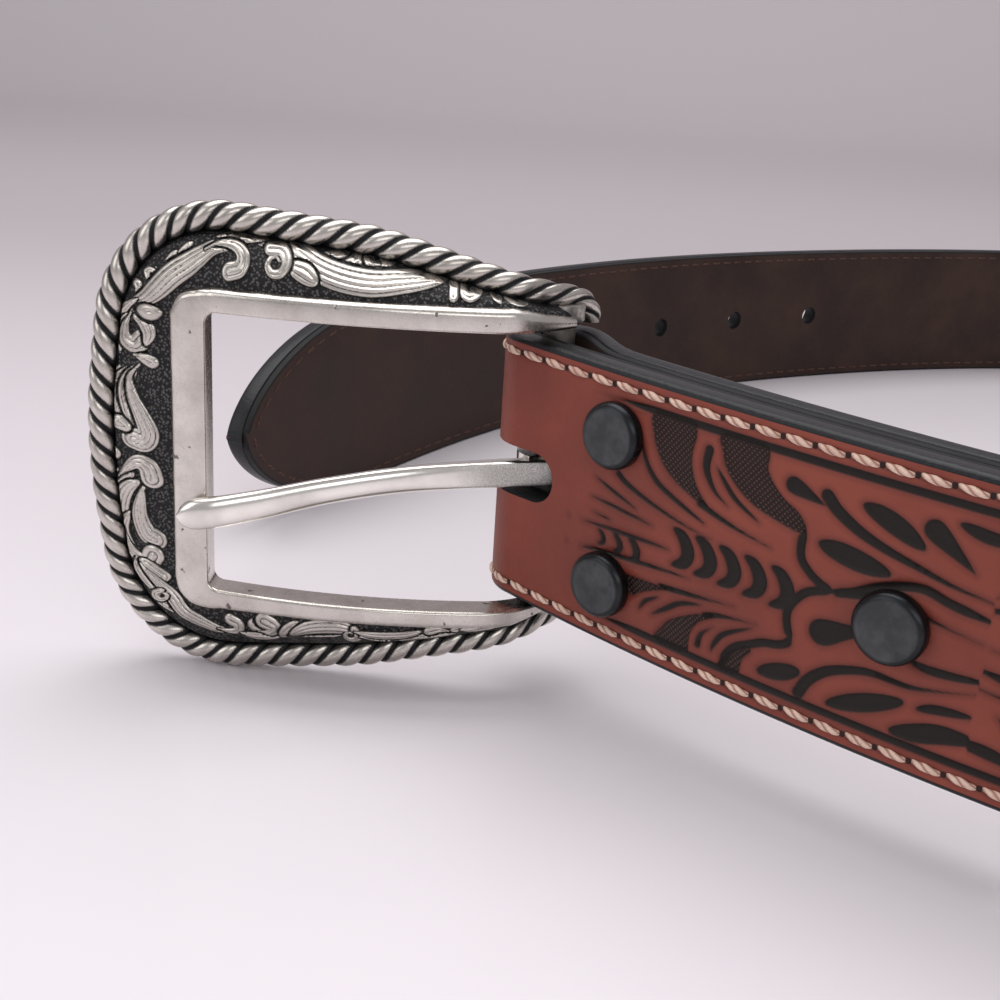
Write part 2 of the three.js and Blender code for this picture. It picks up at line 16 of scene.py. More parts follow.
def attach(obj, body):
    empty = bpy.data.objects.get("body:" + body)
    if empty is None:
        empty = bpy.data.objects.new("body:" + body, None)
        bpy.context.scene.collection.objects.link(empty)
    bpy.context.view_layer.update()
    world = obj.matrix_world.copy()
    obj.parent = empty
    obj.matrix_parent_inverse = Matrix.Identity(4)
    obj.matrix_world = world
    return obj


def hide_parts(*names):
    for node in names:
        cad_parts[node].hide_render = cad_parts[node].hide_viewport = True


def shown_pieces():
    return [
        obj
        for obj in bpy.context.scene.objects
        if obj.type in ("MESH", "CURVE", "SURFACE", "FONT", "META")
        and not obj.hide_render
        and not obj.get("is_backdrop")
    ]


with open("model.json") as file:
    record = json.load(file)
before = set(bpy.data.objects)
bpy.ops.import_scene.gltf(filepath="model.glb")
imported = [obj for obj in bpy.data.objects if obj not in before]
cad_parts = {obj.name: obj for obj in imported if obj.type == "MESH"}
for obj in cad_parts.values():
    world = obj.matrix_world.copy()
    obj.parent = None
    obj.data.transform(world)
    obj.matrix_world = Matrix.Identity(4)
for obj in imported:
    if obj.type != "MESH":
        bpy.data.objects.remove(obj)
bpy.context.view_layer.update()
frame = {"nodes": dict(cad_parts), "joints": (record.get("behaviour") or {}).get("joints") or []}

mm = 0.001
pivot = next(joint for joint in frame["joints"] if joint["name"] == "buckle_pivot")
bar_x, bar_y, buckle_middle = pivot["pos_m"]
print("nodes", sorted(frame["nodes"]))

# %% [markdown]
# ## The camera
# The photograph was taken with a normal lens close to the buckle, looking down a little, with
# the camera leaning so that level lines fall to the right. The camera's three axes are built
# from the two angles, so nothing has to be aimed by eye.

# %% Camera
camera_place = Vector((bar_x, bar_y, 0)) + Vector((-6.84, -182.0, 90.1)) * mm
camera_down = math.radians(18.94)
camera_lean = math.radians(3.56)
camera_lens = 47.41
level = Vector((1, 0, 0))
drop = Vector((0, -math.sin(camera_down), -math.cos(camera_down)))
ahead = Vector((0, math.cos(camera_down), -math.sin(camera_down)))
image_right = math.cos(camera_lean) * level - math.sin(camera_lean) * drop
image_up = -math.sin(camera_lean) * level - math.cos(camera_lean) * drop
camera_data = bpy.data.cameras.new("camera")
camera_data.lens = camera_lens
camera_data.sensor_width = 36
camera_data.clip_start = 5 * mm
camera_data.clip_end = 20
camera = bpy.data.objects.new("camera", camera_data)
turn = Matrix((image_right, image_up, -ahead)).transposed()
camera.matrix_world = Matrix.Translation(camera_place) @ turn.to_4x4()
bpy.context.scene.collection.objects.link(camera)
bpy.context.scene.camera = camera
print("camera at", [round(value, 4) for value in camera_place])

# %% [markdown]
# ## The strap's way
# A belt on its edge is a ribbon whose plan line bends smoothly. The line is given by its
# heading at a few shares of the length; adding up small steps in those headings gives the
# places. The strip also runs round the heel bar and back, so a run below zero is measured
# round the fold and along the fold-back.

# %% Strap sizes
strap_length = 1110 * mm
way_length = 1116 * mm
strap_half = 19 * mm
lining_thickness = 1.1 * mm
burnished_lining = 1.36 * mm
layer_gap = 0.3 * mm
face_thickness = 3.4 * mm
fold_radius = 2.6 * mm
fold_back_length = 76 * mm
closing_length = 13.1 * mm
tip_length = 44 * mm
tip_nose = 0.6 * mm
tip_roundness = 0.6
strap_drop = 0.4 * mm
rise_share = 0.57
face_inner = lining_thickness + layer_gap
face_outer = face_inner + face_thickness
fold_run = math.pi * (fold_radius + face_outer)
way = np.array(
    [
        (0, -44.8), (0.08, -31), (0.2, 3), (0.32, 43.5), (0.44, 86.5), (0.56, 133.5),
        (0.68, 179.5), (0.76, 202.5), (0.82, 213.5), (0.88, 227.5), (0.94, 241), (1, 248),
    ]
)


# %% Reading a table smoothly
def table_curve(rows, share):
    """Cubic between rows of (share, value).

    The slope at a row is the width-weighted mean of the slopes of its two spans."""
    places, values = rows[:, 0], rows[:, 1]
    spans = np.diff(places)
    slopes = np.diff(values) / spans
    inner = (slopes[1:] * spans[:-1] + slopes[:-1] * spans[1:]) / (spans[:-1] + spans[1:])
    slope = np.concatenate([slopes[:1], inner, slopes[-1:]])
    i = np.clip(np.searchsorted(places, share, side="right") - 1, 0, len(spans) - 1)
    t = (share - places[i]) / spans[i]
    first = 2 * t**3 - 3 * t**2 + 1
    leave = (t**3 - 2 * t**2 + t) * spans[i] * slope[i]
    arrive = (t**3 - t**2) * spans[i] * slope[i + 1]
    return first * values[i] + leave + (1 - first) * values[i + 1] + arrive


plan_count = 1116
plan_run = np.linspace(0, way_length, plan_count + 1)
plan_heading = np.radians(table_curve(way, plan_run / way_length))
step = way_length / plan_count
mid_heading = (plan_heading[1:] + plan_heading[:-1]) / 2
plan_x = bar_x + fold_radius * math.sin(plan_heading[0]) + np.append(0, np.cumsum(step * np.cos(mid_heading)))
plan_y = bar_y - fold_radius * math.cos(plan_heading[0]) + np.append(0, np.cumsum(step * np.sin(mid_heading)))
print("strap ends at", round(plan_x[-1], 4), round(plan_y[-1], 4))


# %% A place on the strip
def strap_height(along):
    """The middle line falls from the buckle's middle to half the strap's width, as a parabola."""
    settle = np.maximum(0, 1 - along / (rise_share * strap_length))
    return strap_half + (buckle_middle - strap_drop - strap_half) * settle**2


def strip_frame(run, depth):
    """x, y, middle height and outward direction of the strip at a run and a depth.

    Along the strap the place is the plan line moved outwards by the depth. Round the bar it is
    an arc of the fold's radius plus the depth. On the fold-back it is the plan line moved the
    other way, by a spread that closes as half a cosine wave."""
    run, depth = np.broadcast_arrays(np.asarray(run, float), np.asarray(depth, float))
    back = np.maximum(0, -run - fold_run)
    along = np.where(run >= 0, run, back)
    heading = np.interp(along, plan_run, plan_heading)
    spread = layer_gap + (2 * fold_radius - layer_gap) * (
        0.5 + 0.5 * np.cos(math.pi * np.minimum(1, back / closing_length))
    )
    shift = np.where(run >= 0, depth, -(spread + depth))
    side = np.where(run >= 0, 1.0, -1.0)
    x = np.interp(along, plan_run, plan_x) + shift * np.sin(heading)
    y = np.interp(along, plan_run, plan_y) - shift * np.cos(heading)
    out_x, out_y = side * np.sin(heading), -side * np.cos(heading)
    angle = plan_heading[0] - math.pi / 2 + run / (fold_radius + face_outer)
    folded = (run < 0) & (run > -fold_run)
    x = np.where(folded, bar_x + (fold_radius + depth) * np.cos(angle), x)
    y = np.where(folded, bar_y + (fold_radius + depth) * np.sin(angle), y)
    out_x = np.where(folded, np.cos(angle), out_x)
    out_y = np.where(folded, np.sin(angle), out_y)
    return x, y, strap_height(np.where(folded, 0, along)), out_x, out_y


def strip_half_width(run):
    """Half the width: full, then falling to the tip as a rounded arch."""
    share = np.clip((strap_length - run) / tip_length, 0, 1)
    return np.maximum(tip_nose, strap_half * (1 - (1 - share) ** 2) ** tip_roundness)


def strip_point(run, across, depth):
    """A point on the strip as an array of x, y, z."""
    x, y, middle, _, _ = strip_frame(run, depth)
    return np.stack(np.broadcast_arrays(x, y, middle + across), -1)


# %% [markdown]
# ## Skins from arrays
# Nearly every piece is a skin: a closed profile carried along a path. The points are worked
# out as one array of rows, neighbouring rows are joined by four-sided faces, and both ends
# are closed. A look at the enclosed volume tells whether the faces point outwards.

# %% A skin from rows of profiles
def joined(name, parts):
    """One mesh object from a list of (points, quads, caps); caps are lists of point numbers."""
    points, faces, base = [], [], 0
    for part_points, quads, caps in parts:
        points.append(part_points)
        faces.append((quads + base, [np.asarray(cap) + base for cap in caps]))
        base += len(part_points)
    points = np.concatenate(points)
    quads = np.concatenate([q for q, _ in faces])
    caps = [cap for _, group in faces for cap in group]
    loops = np.concatenate([quads.ravel(), *caps]).astype(np.int32)
    sizes = np.concatenate([np.full(len(quads), 4), [len(cap) for cap in caps]]).astype(np.int32)
    mesh = bpy.data.meshes.new(name)
    mesh.vertices.add(len(points))
    mesh.vertices.foreach_set("co", points.astype(np.float32).ravel())
    mesh.loops.add(len(loops))
    mesh.loops.foreach_set("vertex_index", loops)
    mesh.polygons.add(len(sizes))
    mesh.polygons.foreach_set("loop_start", (np.cumsum(sizes) - sizes).astype(np.int32))
    mesh.update(calc_edges=True)
    mesh.validate()
    piece = bpy.data.objects.new(name, mesh)
    bpy.context.scene.collection.objects.link(piece)
    return piece


def skin_part(rows, closed=False):
    """Points, quads and caps of a skin over rows x ring x 3, turned so that its faces point out."""
    count, ring = rows.shape[:2]
    points = rows.reshape(-1, 3)
    spans = count if closed else count - 1
    start = np.arange(spans)[:, None] * ring
    after_start = ((np.arange(spans) + 1) % count)[:, None] * ring
    here = np.arange(ring)[None, :]
    after = (here + 1) % ring
    quads = np.stack([start + here, start + after, after_start + after, after_start + here], -1)
    quads = quads.reshape(-1, 4)
    last = (count - 1) * ring
    caps = [] if closed else [np.arange(ring)[::-1], last + np.arange(ring)]
    centre = points.mean(0)
    a, b, c, d = (points[quads[:, k]] - centre for k in range(4))
    volume = np.sum(a * np.cross(b, c)) + np.sum(a * np.cross(c, d))
    for cap in caps:
        p = points[cap] - centre
        volume += np.sum(p[0] * np.cross(p[1:-1], p[2:]))
    if volume < 0:
        quads = quads[:, ::-1]
        caps = [cap[::-1] for cap in caps]
    return points, quads, caps


def keep_value(piece, name, values):
    """Stores one number for each point of the piece's mesh, for its finish to read."""
    held = piece.data.attributes.new(name, "FLOAT", "POINT")
    held.data.foreach_set("value", np.asarray(values, np.float32).ravel())


def smooth(piece, sharp_degrees=40):
    """Shades a piece smoothly, save where two faces meet at more than an angle."""
    piece.data.shade_smooth()
    piece.data.set_sharp_from_angle(angle=math.radians(sharp_degrees))
    return piece


def count_triangles(piece):
    """A face with n corners counts as n - 2 triangles."""
    return sum(len(face.vertices) - 2 for face in piece.data.polygons)


def settle(piece, body, slot, material, stands_for=()):
    """Gives a piece its body and its finish, and prints its size. The slot is not used."""
    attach(piece, body)
    if stands_for:
        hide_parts(*stands_for)
    piece.data.materials.clear()
    piece.data.materials.append(material)
    print(piece.name, count_triangles(piece), "triangles")
    return piece


# %% [markdown]
# ## Mixing a finish
# A finish is a small program of shader nodes. `Finish` holds one material: `node` adds any
# node, and `Reading` wraps one output, so that sums on masks can be written as Python.

# %% The shader helper
class Reading:
    """One output of a node, with which sums can be written."""

    def __init__(self, finish, socket):
        self.finish = finish
        self.socket = socket

    def maths(self, operation, first, second):
        """One Math node on two readings or numbers."""
        return self.finish.node("ShaderNodeMath", {"operation": operation}, {0: first, 1: second})

    def __add__(self, other):
        return self.maths("ADD", self, other)

    def __radd__(self, other):
        return self.maths("ADD", other, self)

    def __sub__(self, other):
        return self.maths("SUBTRACT", self, other)

    def __rsub__(self, other):
        return self.maths("SUBTRACT", other, self)

    def __mul__(self, other):
        return self.maths("MULTIPLY", self, other)

    def __rmul__(self, other):
        return self.maths("MULTIPLY", other, self)

    def __truediv__(self, other):
        return self.maths("DIVIDE", self, other)

    def __rtruediv__(self, other):
        return self.maths("DIVIDE", other, self)

    def larger(self, other):
        """The larger of the two."""
        return self.maths("MAXIMUM", self, other)

    def step(self, low, high, to_low=0.0, to_high=1.0):
        """A soft step: to_low below low, to_high above high, smooth between."""
        links = {"Value": self, "From Min": low, "From Max": high, "To Min": to_low, "To Max": to_high}
        return self.finish.node("ShaderNodeMapRange", {"interpolation_type": "SMOOTHSTEP"}, links)


class Finish:
    """One material, built node by node."""

    def __init__(self, name):
        self.material = bpy.data.materials.new(name)
        self.material.use_nodes = True
        self.tree = self.material.node_tree
        self.tree.nodes.clear()

    def node(self, kind, settings=None, links=None, output=0):
        """Adds a node: settings first, then each socket gets a reading or a value."""
        made = self.tree.nodes.new(kind)
        for key, value in (settings or {}).items():
            setattr(made, key, value)
        for key, value in (links or {}).items():
            if isinstance(value, Reading):
                self.tree.links.new(value.socket, made.inputs[key])
            else:
                made.inputs[key].default_value = value
        return Reading(self, made.outputs[output])

    def value(self, name):
        """A number stored on the mesh."""
        return self.node("ShaderNodeAttribute", {"attribute_name": name}, output=2)

    def place(self):
        """The point in the piece's own coordinates."""
        return self.node("ShaderNodeTexCoord", output=3)

    def noise(self, scale, detail=3.0, roughness=0.5, vector=None):
        """Soft noise from 0 to 1."""
        links = {"Vector": vector or self.place(), "Scale": scale, "Detail": detail, "Roughness": roughness}
        return self.node("ShaderNodeTexNoise", {}, links)

    def blend(self, factor, first, second):
        """A colour that goes from the first to the second as the factor goes from 0 to 1."""
        return self.node("ShaderNodeMix", {"data_type": "RGBA"}, {0: factor, 6: first, 7: second}, output=2)

    def bump(self, height, distance, strength=1.0, under=None):
        """A normal that leans with the slope of a height."""
        links = {"Height": height, "Distance": distance, "Strength": strength}
        if under:
            links["Normal"] = under
        return self.node("ShaderNodeBump", {}, links)

    def done(self, **sockets):
        """The shader itself; underscores in a socket's name stand for spaces."""
        links = {name.replace("_", " "): value for name, value in sockets.items()}
        shader = self.node("ShaderNodeBsdfPrincipled", {}, links)
        surface = self.tree.nodes.new("ShaderNodeOutputMaterial")
        self.tree.links.new(shader.socket, surface.inputs["Surface"])
        return self.material


def paint(red, green, blue):
    """A colour from screen values 0 to 255, turned into light: the screen's curve is undone."""
    screen = np.array([red, green, blue]) / 255
    light = np.where(screen <= 0.04045, screen / 12.92, ((screen + 0.055) / 1.055) ** 2.4)
    return (*light.tolist(), 1.0)


# %% [markdown]
# ## Charting lines
# Tooling and cast scrolls are both drawn with strokes: a smooth line through a few points,
# with a width that swells and tapers. On a fine flat sheet the distance from each sheet
# point to the nearest stroke is worked out once. A signed distance keeps edges crisp between
# the points of a mesh, which is why the finish reads it instead of a colour.

# %% Strokes on a sheet
def smooth_line(points, per_span=8, closed=False):
    """A line through all points: each span is the cubic whose end slopes come from the neighbours."""
    points = np.asarray(points, float)
    if closed:
        before, after = np.roll(points, 1, 0), np.roll(points, -1, 0)
        second = np.roll(points, -2, 0)
    else:
        padded = np.concatenate([2 * points[:1] - points[1:2], points, 2 * points[-1:] - points[-2:-1]])
        before, points, after, second = padded[:-3], padded[1:-2], padded[2:-1], padded[3:]
    t = np.linspace(0, 1, per_span, endpoint=False)[None, :, None]
    p0, p1, p2, p3 = (q[:, None, :] for q in (before, points, after, second))
    line = 2 * p1 + (p2 - p0) * t
    line = line + (2 * p0 - 5 * p1 + 4 * p2 - p3) * t**2
    line = 0.5 * (line + (3 * p1 - p0 - 3 * p2 + p3) * t**3)
    line = line.reshape(-1, points.shape[-1])
    return line if closed else np.concatenate([line, after[-1:]])


def taper(kind, width, t):
    """Half the width of a stroke along its share t: leaf is pointed at both ends, drop starts
    blunt and ends in a point, even keeps its width."""
    if kind == "leaf":
        return 0.5 * width * (4 * t * (1 - t)) ** 0.6
    if kind == "drop":
        return 0.5 * width * (1 - t**1.7)
    return 0.5 * width * np.minimum(1, np.minimum(0.4 + 6 * t, 0.4 + 6 * (1 - t)))


class Sheet:
    """A flat sheet of points, spaced evenly, that holds the distance into the nearest stroke."""

    def __init__(self, long_from, long_to, wide_from, wide_to, spacing):
        self.long = np.arange(long_from, long_to + spacing, spacing)
        self.wide = np.arange(wide_from, wide_to + spacing, spacing)
        self.spacing = spacing
        self.margin = 2.0
        self.shape = (len(self.long), len(self.wide))

    def window(self, line, extra):
        """The part of the sheet round a line, as two slices and the points' two numbers."""
        low, high = line.min(0) - extra, line.max(0) + extra
        rows = slice(max(0, np.searchsorted(self.long, low[0])), np.searchsorted(self.long, high[0]))
        columns = slice(max(0, np.searchsorted(self.wide, low[1])), np.searchsorted(self.wide, high[1]))
        grid = np.meshgrid(self.long[rows], self.wide[columns], indexing="ij")
        return rows, columns, grid[0], grid[1]

    def nearest(self, line, halves):
        """Distance into the stroke (positive inside), its half width there, and 1 or -1 for the
        side of the stroke's middle line."""
        rows, columns, u, v = self.window(line, self.margin + halves.max())
        depth = np.full(u.shape, -self.margin)
        half_there = np.full(u.shape, 1e-3)
        side = np.ones(u.shape)
        for k in range(len(line) - 1):
            du, dv = line[k + 1] - line[k]
            t = ((u - line[k, 0]) * du + (v - line[k, 1]) * dv) / max(du * du + dv * dv, 1e-12)
            t = np.clip(t, 0, 1)
            half = halves[k] + t * (halves[k + 1] - halves[k])
            inside = half - np.hypot(u - line[k, 0] - t * du, v - line[k, 1] - t * dv)
            nearer = inside > depth
            depth = np.where(nearer, inside, depth)
            half_there = np.where(nearer, half, half_there)
            left = du * (v - line[k, 1]) - dv * (u - line[k, 0])
            side = np.where(nearer, np.where(left > 0, 1.0, -1.0), side)
        return rows, columns, depth, half_there, side

    def strokes(self, strokes):
        """The largest distance into any of the strokes, each (kind, width, points)."""
        field = np.full(self.shape, -self.margin)
        for kind, width, points in strokes:
            line = smooth_line(points)
            rows, columns, depth, _, _ = self.nearest(line, taper(kind, width, np.linspace(0, 1, len(line))))
            field[rows, columns] = np.maximum(field[rows, columns], depth)
        return field

    def fields(self, outlines):
        """The distance into closed areas, each given by the points of its outline."""
        field = np.full(self.shape, -self.margin)
        for points in outlines:
            line = smooth_line(points, 5, closed=True)
            line = np.concatenate([line, line[:1]])
            rows, columns, depth, _, _ = self.nearest(line, np.zeros(len(line)))
            _, _, u, v = self.window(line, self.margin)
            inside = np.zeros(u.shape, bool)
            for (u0, v0), (u1, v1) in zip(line[:-1], line[1:]):
                crosses = (v0 > v) != (v1 > v)
                lean = (u1 - u0) / (v1 - v0) if v1 != v0 else 0.0
                inside ^= crosses & (u < u0 + (v - v0) * lean)
            signed = np.where(inside, -depth, depth)
            field[rows, columns] = np.maximum(field[rows, columns], signed)
        return field

    def read(self, field, u, v):
        """The field at any places, linear between the sheet's points."""
        i = np.clip((u - self.long[0]) / self.spacing, 0, self.shape[0] - 1.001)
        j = np.clip((v - self.wide[0]) / self.spacing, 0, self.shape[1] - 1.001)
        i0, j0 = i.astype(int), j.astype(int)
        a, b = i - i0, j - j0
        low = field[i0, j0] * (1 - a) + field[i0 + 1, j0] * a
        high = field[i0, j0 + 1] * (1 - a) + field[i0 + 1, j0 + 1] * a
        return low * (1 - b) + high * b


# %% [markdown]
# ## The tooling
# Western tooling is cut and pressed into damp leather: outlines are cut with a swivel knife,
# petals and crescents are pressed with shaped stamps, and the ground between the leaves is
# matted with a fine dotted stamp. The dark finish then stays in everything that is low. The
# chart below is one half of the repeat, in millimetres along and above the middle line;
# its mirror image makes the other half of the flower, and the repeat runs on to the tip.

# %% Chart of the tooling
cut_lines = [
    ("leaf", 0.75, [(21.4, 10.8), (22.4, 8.6), (23.6, 6.9), (25.3, 5.6), (29.1, 4.0), (32.2, 2.9)]),
    ("drop", 0.8, [(18.4, 5.4), (19.9, 4.4), (23.6, 3.1), (28.6, 1.9), (33.4, 1.2)]),
    ("leaf", 0.5, [(14.9, 3.8), (17.0, 3.0), (19.1, 2.3), (21.8, 1.5)]),
    ("leaf", 0.5, [(14.3, 0.95), (17.6, 0.75), (20.7, 0.45), (24.6, 0.15)]),
    ("leaf", 0.3, [(14.9, -1.1), (17.9, -1.4)]),
    ("leaf", 0.6, [(13.2, -2.9), (17, -2.6), (20.1, -2.5), (23.6, -2.3), (27.4, -2.2)]),
    ("leaf", 0.65, [(13.2, -6.7), (15.9, -6.2), (20.1, -5.8), (24.3, -5.4), (30.8, -4.9)]),
    ("drop", 0.8, [(31.0, 5.3), (33.6, 4.5), (36.8, 3.7), (41.5, 2.9)]),
    ("drop", 1.15, [(31.6, 12.5), (31.4, 10.4), (32.0, 8.8), (33.2, 7.3), (35.1, 6.2)]),
    ("leaf", 0.65, [(33.0, 10.6), (34.3, 9.0), (36.1, 7.3), (39.5, 5.5)]),
    ("drop", 0.8, [(26.6, -7.5), (30.5, -7.1), (33.6, -6.75), (37.6, -6.2)]),
    ("leaf", 0.6, [(23.6, -11.9), (24.5, -10.4), (26.6, -9.0)]),
    ("leaf", 0.75, [(25.6, -11.9), (27.8, -10.2), (29.9, -8.7), (33.1, -7.7)]),
    ("drop", 0.95, [(33.6, -9.0), (34.7, -8.5), (36.8, -8.0), (40.9, -7.4)]),
    ("drop", 0.85, [(33.0, -13.3), (33.4, -11.6), (35.1, -9.9)]),
    ("leaf", 0.75, [(35.0, -13.4), (35.5, -11.9), (36.8, -10.2), (40.5, -8.0)]),
]
scallops = [
    ("even", 1.1, [(45.4, 6.4), (45.2, 4.6), (45.5, 2.9), (46.7, 1.6), (48.2, 0.7), (49.8, 0.25)]),
    ("even", 1.1, [(49.8, 0.25), (48.0, -0.3), (46.4, -1.2), (45.1, -2.9), (44.6, -4.5),
         (44.9, -6.2), (45.5, -7.5)]),
    ("even", 1.1, [(45.5, -7.5), (45.0, -8.3), (43.9, -8.9), (42.0, -9.4), (40.1, -10.4),
         (38.4, -11.4), (37.2, -12.9), (36.6, -14.7)]),
    ("even", 1.15, [(49.8, 0.25), (52.0, 0.9), (55.0, 2.6), (58.0, 3.8), (60.5, 4.2), (63.5, 3.5),
         (68.0, 2.9)]),
    ("drop", 1.0, [(50.5, 0.3), (54.0, 1.1), (58.0, 1.6), (62.0, 0.8), (67.5, 0.1)]),
]
petals = [
    ("drop", 2.1, [(43.3, 11.5), (45.0, 11.0), (47.6, 10.2)]),
    ("drop", 1.6, [(47.6, 11.5), (49.1, 10.1), (51.8, 8.6), (54.9, 7.5), (59.1, 6.5), (64.0, 5.5),
         (71, 4.9)]),
    ("leaf", 2.5, [(52.0, 11.8), (54.5, 11.1), (57.0, 10.1), (59.6, 8.8)]),
    ("drop", 2.6, [(60.4, 11.3), (62.4, 9.9), (65.5, 7.7)]),
    ("leaf", 2.7, [(47.4, 5.6), (50.0, 5.3), (53.0, 4.9), (56.3, 4.6)]),
    ("drop", 3.3, [(49.3, -5.2), (51.5, -4.3), (56.0, -2.6)]),
    ("leaf", 2.3, [(41.8, -13.3), (44.6, -12.3), (47.2, -11.2)]),
    ("drop", 1.5, [(47.4, -14.0), (48.4, -11.9), (50.3, -10.0), (52.8, -8.75), (55.9, -7.9),
         (60.1, -7.9), (63.2, -7.3), (68.0, -5.9)]),
    ("leaf", 2.4, [(51.0, -13.9), (54.0, -12.6), (57.0, -11.3), (60.2, -9.9)]),
    ("leaf", 2.5, [(59.0, -14.1), (62.0, -13.2), (65.0, -12.2), (69.0, -11.6)]),
    ("leaf", 1.2, [(61.6, -10.2), (64.0, -9.4), (68.0, -8.8)]),
    ("leaf", 1.1, [(59.6, -4.6), (62.0, -5.0), (65.0, -4.8), (69.0, -4.2)]),
    ("leaf", 1.6, [(62.8, 12.9), (66.0, 12.3), (70.0, 12.2)]),
]
matted_fields = [
    [(23.1, 15), (23.2, 12.1), (24.1, 10), (25.3, 8.35), (27.2, 6.9), (29.1, 6), (31.4, 5.1),
     (32.2, 5.3), (30.9, 6.6), (29.8, 8.4), (29.2, 11), (29.2, 15)],
    [(33.1, 15), (33.4, 12.7), (34.1, 10.9), (35.7, 9.1), (38.2, 7.5), (41.2, 6.6), (44.9, 5.9),
     (45.5, 6.9), (44.3, 8.4), (42.4, 9.4), (40.7, 10.9), (39.7, 12.5), (39.2, 15)],
    [(20.9, -8.0), (23.4, -7.7), (26.7, -7.5), (28.4, -7.4), (26.0, -8.4), (24.1, -9.3),
     (22.4, -10.4), (21.4, -10)],
    [(26.4, -15.2), (27.4, -12.9), (28.6, -11.4), (30.5, -10.2), (32.6, -9.1), (34.9, -8.6),
     (33.4, -9.8), (32.4, -10.8), (31.7, -12.5), (31.3, -15.2)],
    [(36.1, -15.2), (36.9, -13.2), (38.2, -11.8), (39.8, -10.8), (40.6, -11.2), (39.5, -12.8),
     (39.0, -15.2)],
]

# %% The two rows of crescents
def crescent(place, above, size):
    """A pressed crescent that opens towards the buckle; the chart's shape times a size."""
    shape = np.array([(-2.4, 2.5), (-0.9, 1.7), (0.05, -0.1), (-0.45, -1.6), (-2.2, -2.5)])
    return ("leaf", 1.95 * size, shape * (size, size) + (place, above))


crescents = [crescent(30.1 + 3.3 * i + 0.06 * i * i, -1.55 - 0.05 * i, 1.0) for i in range(5)]
crescents += [crescent(16.9 + 2.75 * i, -4.3, 0.42 + 0.1 * i) for i in range(3)]

# Where the first repeat has the two upper snaps, the later ones have a matted field with a leaf
filler_fields = [
    [(10, 15.2), (19.6, 15.2), (20.8, 11.4), (18.8, 8.2), (15.5, 6.4), (10, 5.9)],
    [(10, -8.4), (17.0, -8.8), (20.2, -11.2), (20.6, -15.2), (10, -15.2)],
]
filler_leaves = [
    ("leaf", 3.6, [(10, 7.4), (14.0, 9.6), (18.4, 13.9)]),
    ("leaf", 3.2, [(10, -9.6), (14.0, -11.3), (18.0, -14.6)]),
    ("leaf", 1.6, [(10, 12.0), (12.4, 13.0), (14.2, 15.0)]),
]
filler_cuts = [
    ("leaf", 0.7, [(12.2, 8.9), (14.6, 10.6), (16.6, 12.9)]),
    ("leaf", 0.7, [(12.2, -10.6), (14.4, -12.0), (16.2, -13.8)]),
    ("leaf", 0.7, [(9, 3.6), (12, 3.0), (15.4, 3.9)]),
    ("leaf", 0.7, [(9, -4.2), (11, -4.6), (13.4, -5.4)]),
]
chart_start = 12.0
chart_turn = 68.0
sheet = Sheet(chart_start - 3, chart_turn + 3, -16, 16, 0.14)
cut_field = sheet.strokes(cut_lines + scallops + petals + crescents)
matted = sheet.fields(matted_fields)
later_cuts = np.maximum(cut_field, sheet.strokes(filler_cuts))
leaf_margin = 0.25
round_leaves = -sheet.strokes(filler_leaves) - leaf_margin
later_matted = np.maximum(matted, np.minimum(sheet.fields(filler_fields), round_leaves))
print("tooling chart", sheet.shape, "points")

# %% The tooling at any place of the strip
stitch_inset = 2.1
border_inset = 3.85
border_width = 1.0
tooling_end = 1110 - 30
cut_depth = 0.42
matted_depth = 0.5
puff = 0.16


def soft_step(value, low, high):
    """0 below low, 1 above high, and 3 t^2 - 2 t^3 of the share t between."""
    t = np.clip((value - low) / (high - low), 0, 1)
    return t * t * (3 - 2 * t)


def tooling(run, across, edge):
    """Lift of the face (millimetres), depth into a cut and depth into a matted field.

    The chart is folded: a run counts on to the turning line, then back, and so on. Cuts are V
    shaped, matted fields are flat and low, and the leather swells a little away from both."""
    period = chart_turn - chart_start
    beyond = (run - chart_start) / period
    fold = np.floor(beyond)
    local = np.where(fold % 2 == 0, beyond - fold, 1 - beyond + fold) * period + chart_start
    side = np.where((fold + 1) // 2 % 2 == 0, 1.0, -1.0)
    first = run < chart_turn
    up = side * across
    cut = np.where(first, sheet.read(cut_field, local, up), sheet.read(later_cuts, local, up))
    low = np.where(first, sheet.read(matted, local, up), sheet.read(later_matted, local, up))
    inside = np.minimum(run - chart_start + 1.2, tooling_end - run)
    border = 0.5 * border_width - np.abs(edge - border_inset)
    border = border - 1.4 * (1 - soft_step(run, chart_start - 4, chart_start + 12))
    within = np.minimum(inside, edge - border_inset)
    cut = np.maximum(np.minimum(cut, within), border)
    low = np.minimum(low, within + 0.3)
    lift = -cut_depth * np.clip(cut / 0.45 + 0.25, 0, 1) - matted_depth * soft_step(low, -0.12, 0.3)
    swell = soft_step(-np.maximum(cut, low), 0.0, 1.1) * soft_step(within, 0, 4)
    return np.maximum(lift, -0.62) + puff * swell, cut, low


# %% [markdown]
# ## The face leather
# The face is one strip of thick leather: it starts inside the belt, goes round the heel bar
# and runs to the pointed tip. Its section is a flat loop with rounded edges. The outer side
# has many points across, so that the tooling is true relief; the inner side has few. The
# stretch by the buckle is finest. The strip is made in lengths that meet edge to edge on a
# plain line of the pattern, so that no mesh becomes too heavy.

